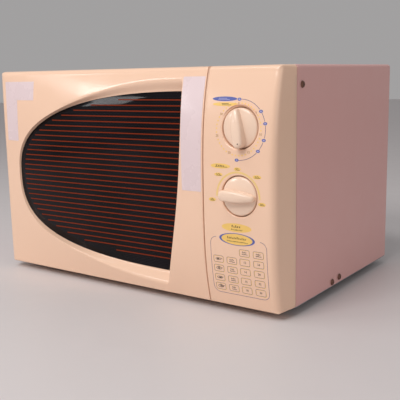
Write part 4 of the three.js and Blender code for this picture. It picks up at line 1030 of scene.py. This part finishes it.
def build_graphics():
    blue, yellow, dark, violet, pale, olive, light = [], [], [], [], [], [], []
    # Timer: label, ring of dots with figures, and a second scale outside it.
    cx, cz = KNOB_X - 0.6, TIMER_Z - 1.9
    blue.append(ellipse(157.6, 236.4, 16.2, 2.5))
    yellow.append(ellipse(159, 230.6, 16.8, 2.1))
    light += [raised(block(155, 237.0, 11, 0.6), 0.03), raised(block(156.5, 235.6, 15, 0.5), 0.03)]
    dark += [block(158.5, 231.2, 9, 0.6), block(160.5, 229.9, 12, 0.5)]
    for angle in (94, 38, 13, -18, -42, -94):
        a = math.radians(angle)
        x, z = cx + 32.7 * math.cos(a), cz + 32.7 * math.sin(a)
        blue.append(ellipse(x, z, 2.5, 1.7, 8, 8))
        light.append(raised(ellipse(x, z, 1.3, 0.75, 6, 6), 0.04))
    for start, end in ((89, 43), (34, 17), (9, -14), (-22, -38), (-46, -90)):
        violet.append(ribbon(arc(cx, cz, 32.7, start, end, 16), 0.6))
    ring_x, ring_z = KNOB_X - 1.8, TIMER_Z - 1.4
    for k in range(7):
        angle = 93 - 51.4 * k
        a = math.radians(angle)
        olive.append(numeral(str(5 * k), ring_x + 28.3 * math.cos(a), ring_z + 27.6 * math.sin(a), 2.7))
        for j in range(1, 6):
            b = math.radians(angle - 51.4 * j / 6)
            yellow.append(ellipse(ring_x + 28.3 * math.cos(b), ring_z + 28.3 * math.sin(b), 0.9, 0.9, 6, 6))
    # Power: arc and labels.
    px, pz = KNOB_X - 1.5, POWER_Z - 1.2
    pale.append(ribbon(arc(px, pz, 27.6, -1, 181, 60), 2.2))
    for x, z, a, b in ((155, 163.2, 13, 2.8), (177.1, 160.9, 4.6, 2), (152.5, 153.7, 5.5, 2),
                       (202.1, 153.7, 5.5, 2.2), (143.9, 124.9, 4.8, 2.2), (208.2, 124.4, 4.8, 2.2)):
        yellow.append(ellipse(x, z, a, b))
        dark += strokes(x - 0.05 * a, z + 0.6, a * 0.9, 1.2, 4) + [block(x + 0.1 * a, z - 0.9, a * 1.25, 0.5)]
    yellow.append(ellipse(175.3, 95.4, 19.5, 4.9, 14, 20))
    dark += strokes(174.6, 96.9, 12, 2.6, 5) + strokes(175.6, 93.2, 15, 1.3, 9)
    # Ringed label over the table.
    blue.append(ellipse(175.5, 82.1, 23.4, 7.0, 18, 26))
    yellow.append(raised(ellipse(175.5, 82.1, 20.4, 6.3, 18, 26), 0.05))
    dark += [raised(part, 0.05) for part in strokes(175, 83.6, 25, 2.6, 12) + strokes(176, 79.6, 28, 1.2, 18)]
    # Table: frame, cells, pictures, bars and figures.
    border = frame_path(139.8, 213.5, 15.5, 82.5, 8)
    hidden = [z > 80 and 149 < x < 201.5 for x, z in border]
    first = hidden.index(True)
    order = list(range(first, len(border))) + list(range(first))
    violet.append(ribbon([border[i] for i in order if not hidden[i]], 0.5))
    columns, rows = (149.5, 167.4, 184.6, 202.5), (56.4, 45.2, 33.9, 23.1)
    for j, x in enumerate(columns):
        for i, z in enumerate(((67.3,) if j > 1 else ()) + rows):
            cell = frame_path(x - 6.45, x + 6.45, z - 3.85, z + 3.85, 1.6, 2.5)
            violet.append(ribbon(cell, 0.42, closed=True))
            yellow.append(raised(ribbon([(a + 0.5, b - 0.45) for a, b in cell], 0.5, closed=True), -0.03))
            head = j > 1 and i == 0
            if j == 1 or head:
                dark += strokes(x - 0.2, z + 1.1, 6.0 - (i % 2), 1.5, 4)
                dark += strokes(x + 0.3, z - 1.2, 7.4 - i * 0.4, 1.2, 5)
            elif j == 0:
                dark += picture(x, z, i)
            else:
                dark.append(numeral(str((j - 1) * 2 * i + 10 * (j - 1)), x, z, 2.6))
    for ink, parts in (("blue", blue), ("yellow", yellow), ("pale", pale), ("violet", violet), ("dark", dark),
                       ("olive", olive), ("light", light)):
        make("print_" + ink, *merge(*parts), "cabinet", material=INK[ink], sharp=30)


def strokes(cx, cz, width, height, count):
    """A row of small upright marks of uneven height, in the place of a word."""
    marks = []
    step = width / count
    for k in range(count):
        tall = height * (1.0 if k in (0, count // 2) else random.uniform(0.55, 0.8))
        x = cx - width / 2 + step * (k + 0.5)
        marks.append(block(x, cz - (height - tall) / 2, step * 0.42, tall))
        bar = cz - height / 2 + tall * random.choice((0.15, 0.85))
        marks.append(block(x + step * 0.2, bar, step * 0.55, 0.5))
    return marks


def raised(part, lift):
    points, faces = part
    return [(x, y - lift, z) for x, y, z in points], faces


def picture(x, z, kind):
    """Small dish pictures in the first column: a bowl, a covered plate, a cup and a loaf."""
    outline = ribbon([(x + 3.6 * math.cos(a), z + 1.5 * math.sin(a) * (1 if kind % 2 else 0.8))
                      for a in np.linspace(0, 2 * math.pi, 25)[:-1]], 0.45, closed=True)
    body = ellipse(x - 0.4 + 0.4 * kind, z - 0.1, 1.6 + 0.25 * kind, 0.7, 6, 8)
    handle = ribbon([(x + 3.4, z + 0.5), (x + 4.4, z + 0.9), (x + 5.0, z + 0.5)], 0.45)
    lid = ribbon([(x - 1.5, z + 1.7), (x, z + 2.2), (x + 1.5, z + 1.7)], 0.4)
    return [outline, body, handle, lid][: 3 + kind % 2]


# ---------- cover, tray and the rest ----------


def build_cover():
    low, high = box_mm("outer_cover")
    bend, sheet, lip = 4.0, high.x - 227.0, 12.0
    loop = [(0.5, sheet), (0.12, 0.88), (0, 0.5), (0.12, 0.12), (0.5, 0)]
    roll = 6.5
    loop += [(y, 0) for y in np.linspace(6, high.y - roll - 1, 14)]
    loop += [(high.y - roll + roll * math.sin(a), roll - roll * math.cos(a))
             for a in np.radians(range(0, 91, 10))]
    loop += [(high.y, lip), (high.y - sheet, lip)]
    loop += [(high.y - roll + (roll - sheet) * math.sin(a), roll - (roll - sheet) * math.cos(a))
             for a in np.radians(range(90, -1, -15))]
    loop += [(y, sheet) for y in np.linspace(high.y - roll - 1, 6, 14)]

    def path(inset):
        x, z, radius = high.x - inset, high.z - inset, max(bend - inset, 0.06)
        right = [(x, h) for h in np.linspace(low.z, z - radius, 24)]
        turn = [(x - radius * (1 - math.cos(a)), z - radius * (1 - math.sin(a)))
                for a in np.radians(np.linspace(7.5, 90, 12))]
        top = [(w, z) for w in np.linspace(x - radius, -(x - radius), 36)[1:-1]]
        half = right + turn
        return half + top + [(-a, b) for a, b in half[::-1]]

    rings = [[(a, y, b) for a, b in path(inset)] for y, inset in loop]
    count = len(rings[0])
    points = [p for ring in rings for p in ring]
    faces = rings_to_faces(count, len(rings), closed=False)
    last = (len(rings) - 1) * count
    faces += [(last + i, last + i + 1, i + 1, i) for i in range(count - 1)]
    for end in (0, count - 1):
        faces.append(tuple(r * count + end for r in range(len(rings))))
    make("cover_sheet", points, faces, "cabinet", "cover_paint", replaces=("outer_cover",), sharp=40)


def build_tray():
    low, high = box_mm("glass_tray")
    centre = ((low.x + high.x) / 2, (low.y + high.y) / 2, high.z - 14)
    profile = [(0, 0.4), (70, 0.2), (108, 0), (112.4, 0.5), (115, 2.2), (119.4, 6.4), (123.6, 10.6),
               (124.7, 12), (125, 13), (124.3, 13.8), (123.3, 14), (122, 13.3), (116.8, 8.7), (112.6, 5.7),
               (110, 5.1), (106, 4.9), (60, 4.9), (30, 4.7), (0, 4.6)]
    parts = [lathe(profile, centre, "z", 160)]
    for k in range(3):
        a = math.radians(120 * k + 30)
        lug = []
        for r0, r1, half, z in ((11.4, 17.6, 2.1, -3.4), (11, 18, 2.5, -3.0), (11, 18, 2.5, 0.6)):
            for r, w in ((r0, -half), (r1, -half), (r1, half), (r0, half)):
                x, y = r * math.cos(a) - w * math.sin(a), r * math.sin(a) + w * math.cos(a)
                lug.append((centre[0] + x, centre[1] + y, centre[2] + z))
        parts.append((lug, rings_to_faces(4, 3) + [(0, 1, 2, 3), (8, 9, 10, 11)]))
    make("tray_glass", *merge(*parts), "tray", "clear_glass", replaces=("glass_tray",), sharp=40)


BUILT = {"door_outer", "door_window", "control_panel", "timer_knob", "power_knob", "outer_cover",
         "glass_tray", "latch_spring"}
add_camera()
add_studio()
build_door()
build_panel()
build_knob("timer_knob", "timer_control", TIMER_Z, TIMER_REST)
build_knob("power_knob", "power_control", POWER_Z, POWER_REST)
build_graphics()
build_cover()
build_tray()
NODES["latch_spring"].data.materials.clear()
NODES["latch_spring"].data.materials.append(LOOKS[SLOT_OF["latch_spring"]])
for node in [n for n in NODES if n not in BUILT]:
    refined(node, SCREW if node.startswith("cover_screw") else None)
